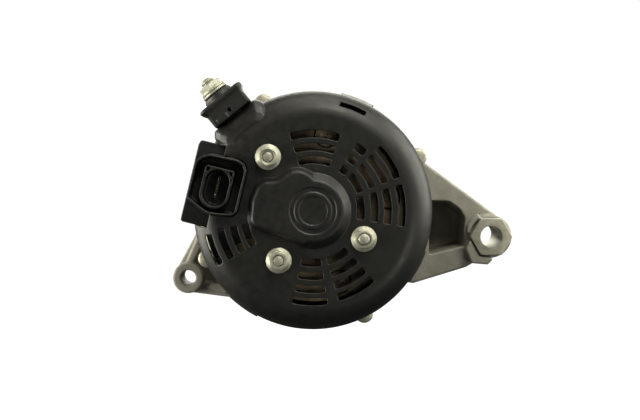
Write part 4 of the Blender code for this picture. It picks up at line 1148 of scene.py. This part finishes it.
def make_studio():
    scene = bpy.context.scene
    camera = bpy.data.cameras.new("camera")
    camera.sensor_width = 36
    camera.lens = 81.5
    camera.clip_start = 0.01
    eye = bpy.data.objects.new("camera", camera)
    eye.location = (0, -0.874, 0.0165)
    eye.rotation_euler = (radians(90 - 1.186), 0, radians(-0.277))
    scene.collection.objects.link(eye)
    scene.camera = eye
    scene.view_settings.view_transform = "Standard"
    world = bpy.data.worlds.new("studio")
    scene.world = world
    world.use_nodes = True
    nodes, links = world.node_tree.nodes, world.node_tree.links
    backdrop = nodes["Background"]
    backdrop.inputs["Color"].default_value = (1, 1, 1, 1)
    backdrop.inputs["Strength"].default_value = 1.05
    fill = nodes.new("ShaderNodeBackground")
    fill.inputs["Color"].default_value = (0.96, 0.98, 1.0, 1)
    fill.inputs["Strength"].default_value = 0.07
    path = nodes.new("ShaderNodeLightPath")
    chooser = nodes.new("ShaderNodeMixShader")
    links.new(path.outputs["Is Camera Ray"], chooser.inputs[0])
    links.new(fill.outputs[0], chooser.inputs[1])
    links.new(backdrop.outputs[0], chooser.inputs[2])
    links.new(chooser.outputs[0], nodes["World Output"].inputs["Surface"])
    centre = (0, -0.06, 0)
    warm = (1.0, 0.985, 0.87)
    area_light("panel_right", (0.90, -0.06, 0.36), centre, 1.2, 17, warm, size_y=0.9)
    area_light("panel_left", (-0.95, 0.05, 0.02), centre, 1.0, 15, warm, size_y=0.7)
    area_light("panel_top", (0.10, -0.20, 1.0), centre, 0.8, 6, warm)
    area_light("panel_back", (0.0, 0.95, 0.5), centre, 0.9, 10, warm)
    area_light("key_right", (0.64, -1.05, -0.34), centre, 0.25, 4.5, warm)
    area_light("key_left", (-1.0, -0.62, -0.10), centre, 0.30, 7, warm)
    area_light("key_top", (0.25, -0.80, 0.80), centre, 0.30, 6, warm)
    below = Matrix.Translation((0, 0, -0.30)) @ Matrix.Rotation(pi / 2, 4, "X")
    floor = loft("floor", circle(3000, (0, 0), 96), [(0, -6), (0, 0)], below)
    paint = bpy.data.materials.new("floor_paint")
    paint.use_nodes = True
    shader = paint.node_tree.nodes["Principled BSDF"]
    shader.inputs["Base Color"].default_value = (0.85, 0.85, 0.84, 1)
    shader.inputs["Roughness"].default_value = 0.9
    shader.inputs["Emission Color"].default_value = (1, 1, 1, 1)
    shader.inputs["Emission Strength"].default_value = 1.1
    floor.data.materials.append(paint)
    floor.visible_diffuse = False
    floor.visible_glossy = False


def main():
    for node, piece in frame["nodes"].items():
        for index in range(len(piece.material_slots)):
            piece.material_slots[index].material = MATERIALS[SLOT_OF[node]]
        if not piece.material_slots:
            piece.data.materials.append(MATERIALS[SLOT_OF[node]])
    make_studio()
    make_rear_cover()
    make_cover_fasteners()
    make_regulator()
    make_output_terminal()
    make_drive_end_bracket()
    make_rear_end_frame()
    make_pivot_bush()
    make_through_bolts()
    make_stator()
    make_shaft()
    make_claw_pole("rear_claw_pole", -62, -50, -36.3, -14.5, 0)
    make_claw_pole("front_claw_pole", -10, -22, -35.7, -57.5, 30)
    make_fan("rear_fan", -63.8, -62.3, -69.4, -62.9, 14)
    make_fan("front_fan", -9.7, -8.2, -9.1, -1.4, -14)
    make_bearing("front_bearing", 8.5, 23.5, 0, 14, 12.6, 19.6, 3.2, 7)
    make_bearing("rear_bearing", 7.5, 17.5, -79.5, -68.5, 10.1, 15.1, 2.2, 7)
    make_pulley()
    make_rectifier()
    make_brush_gear()


main()
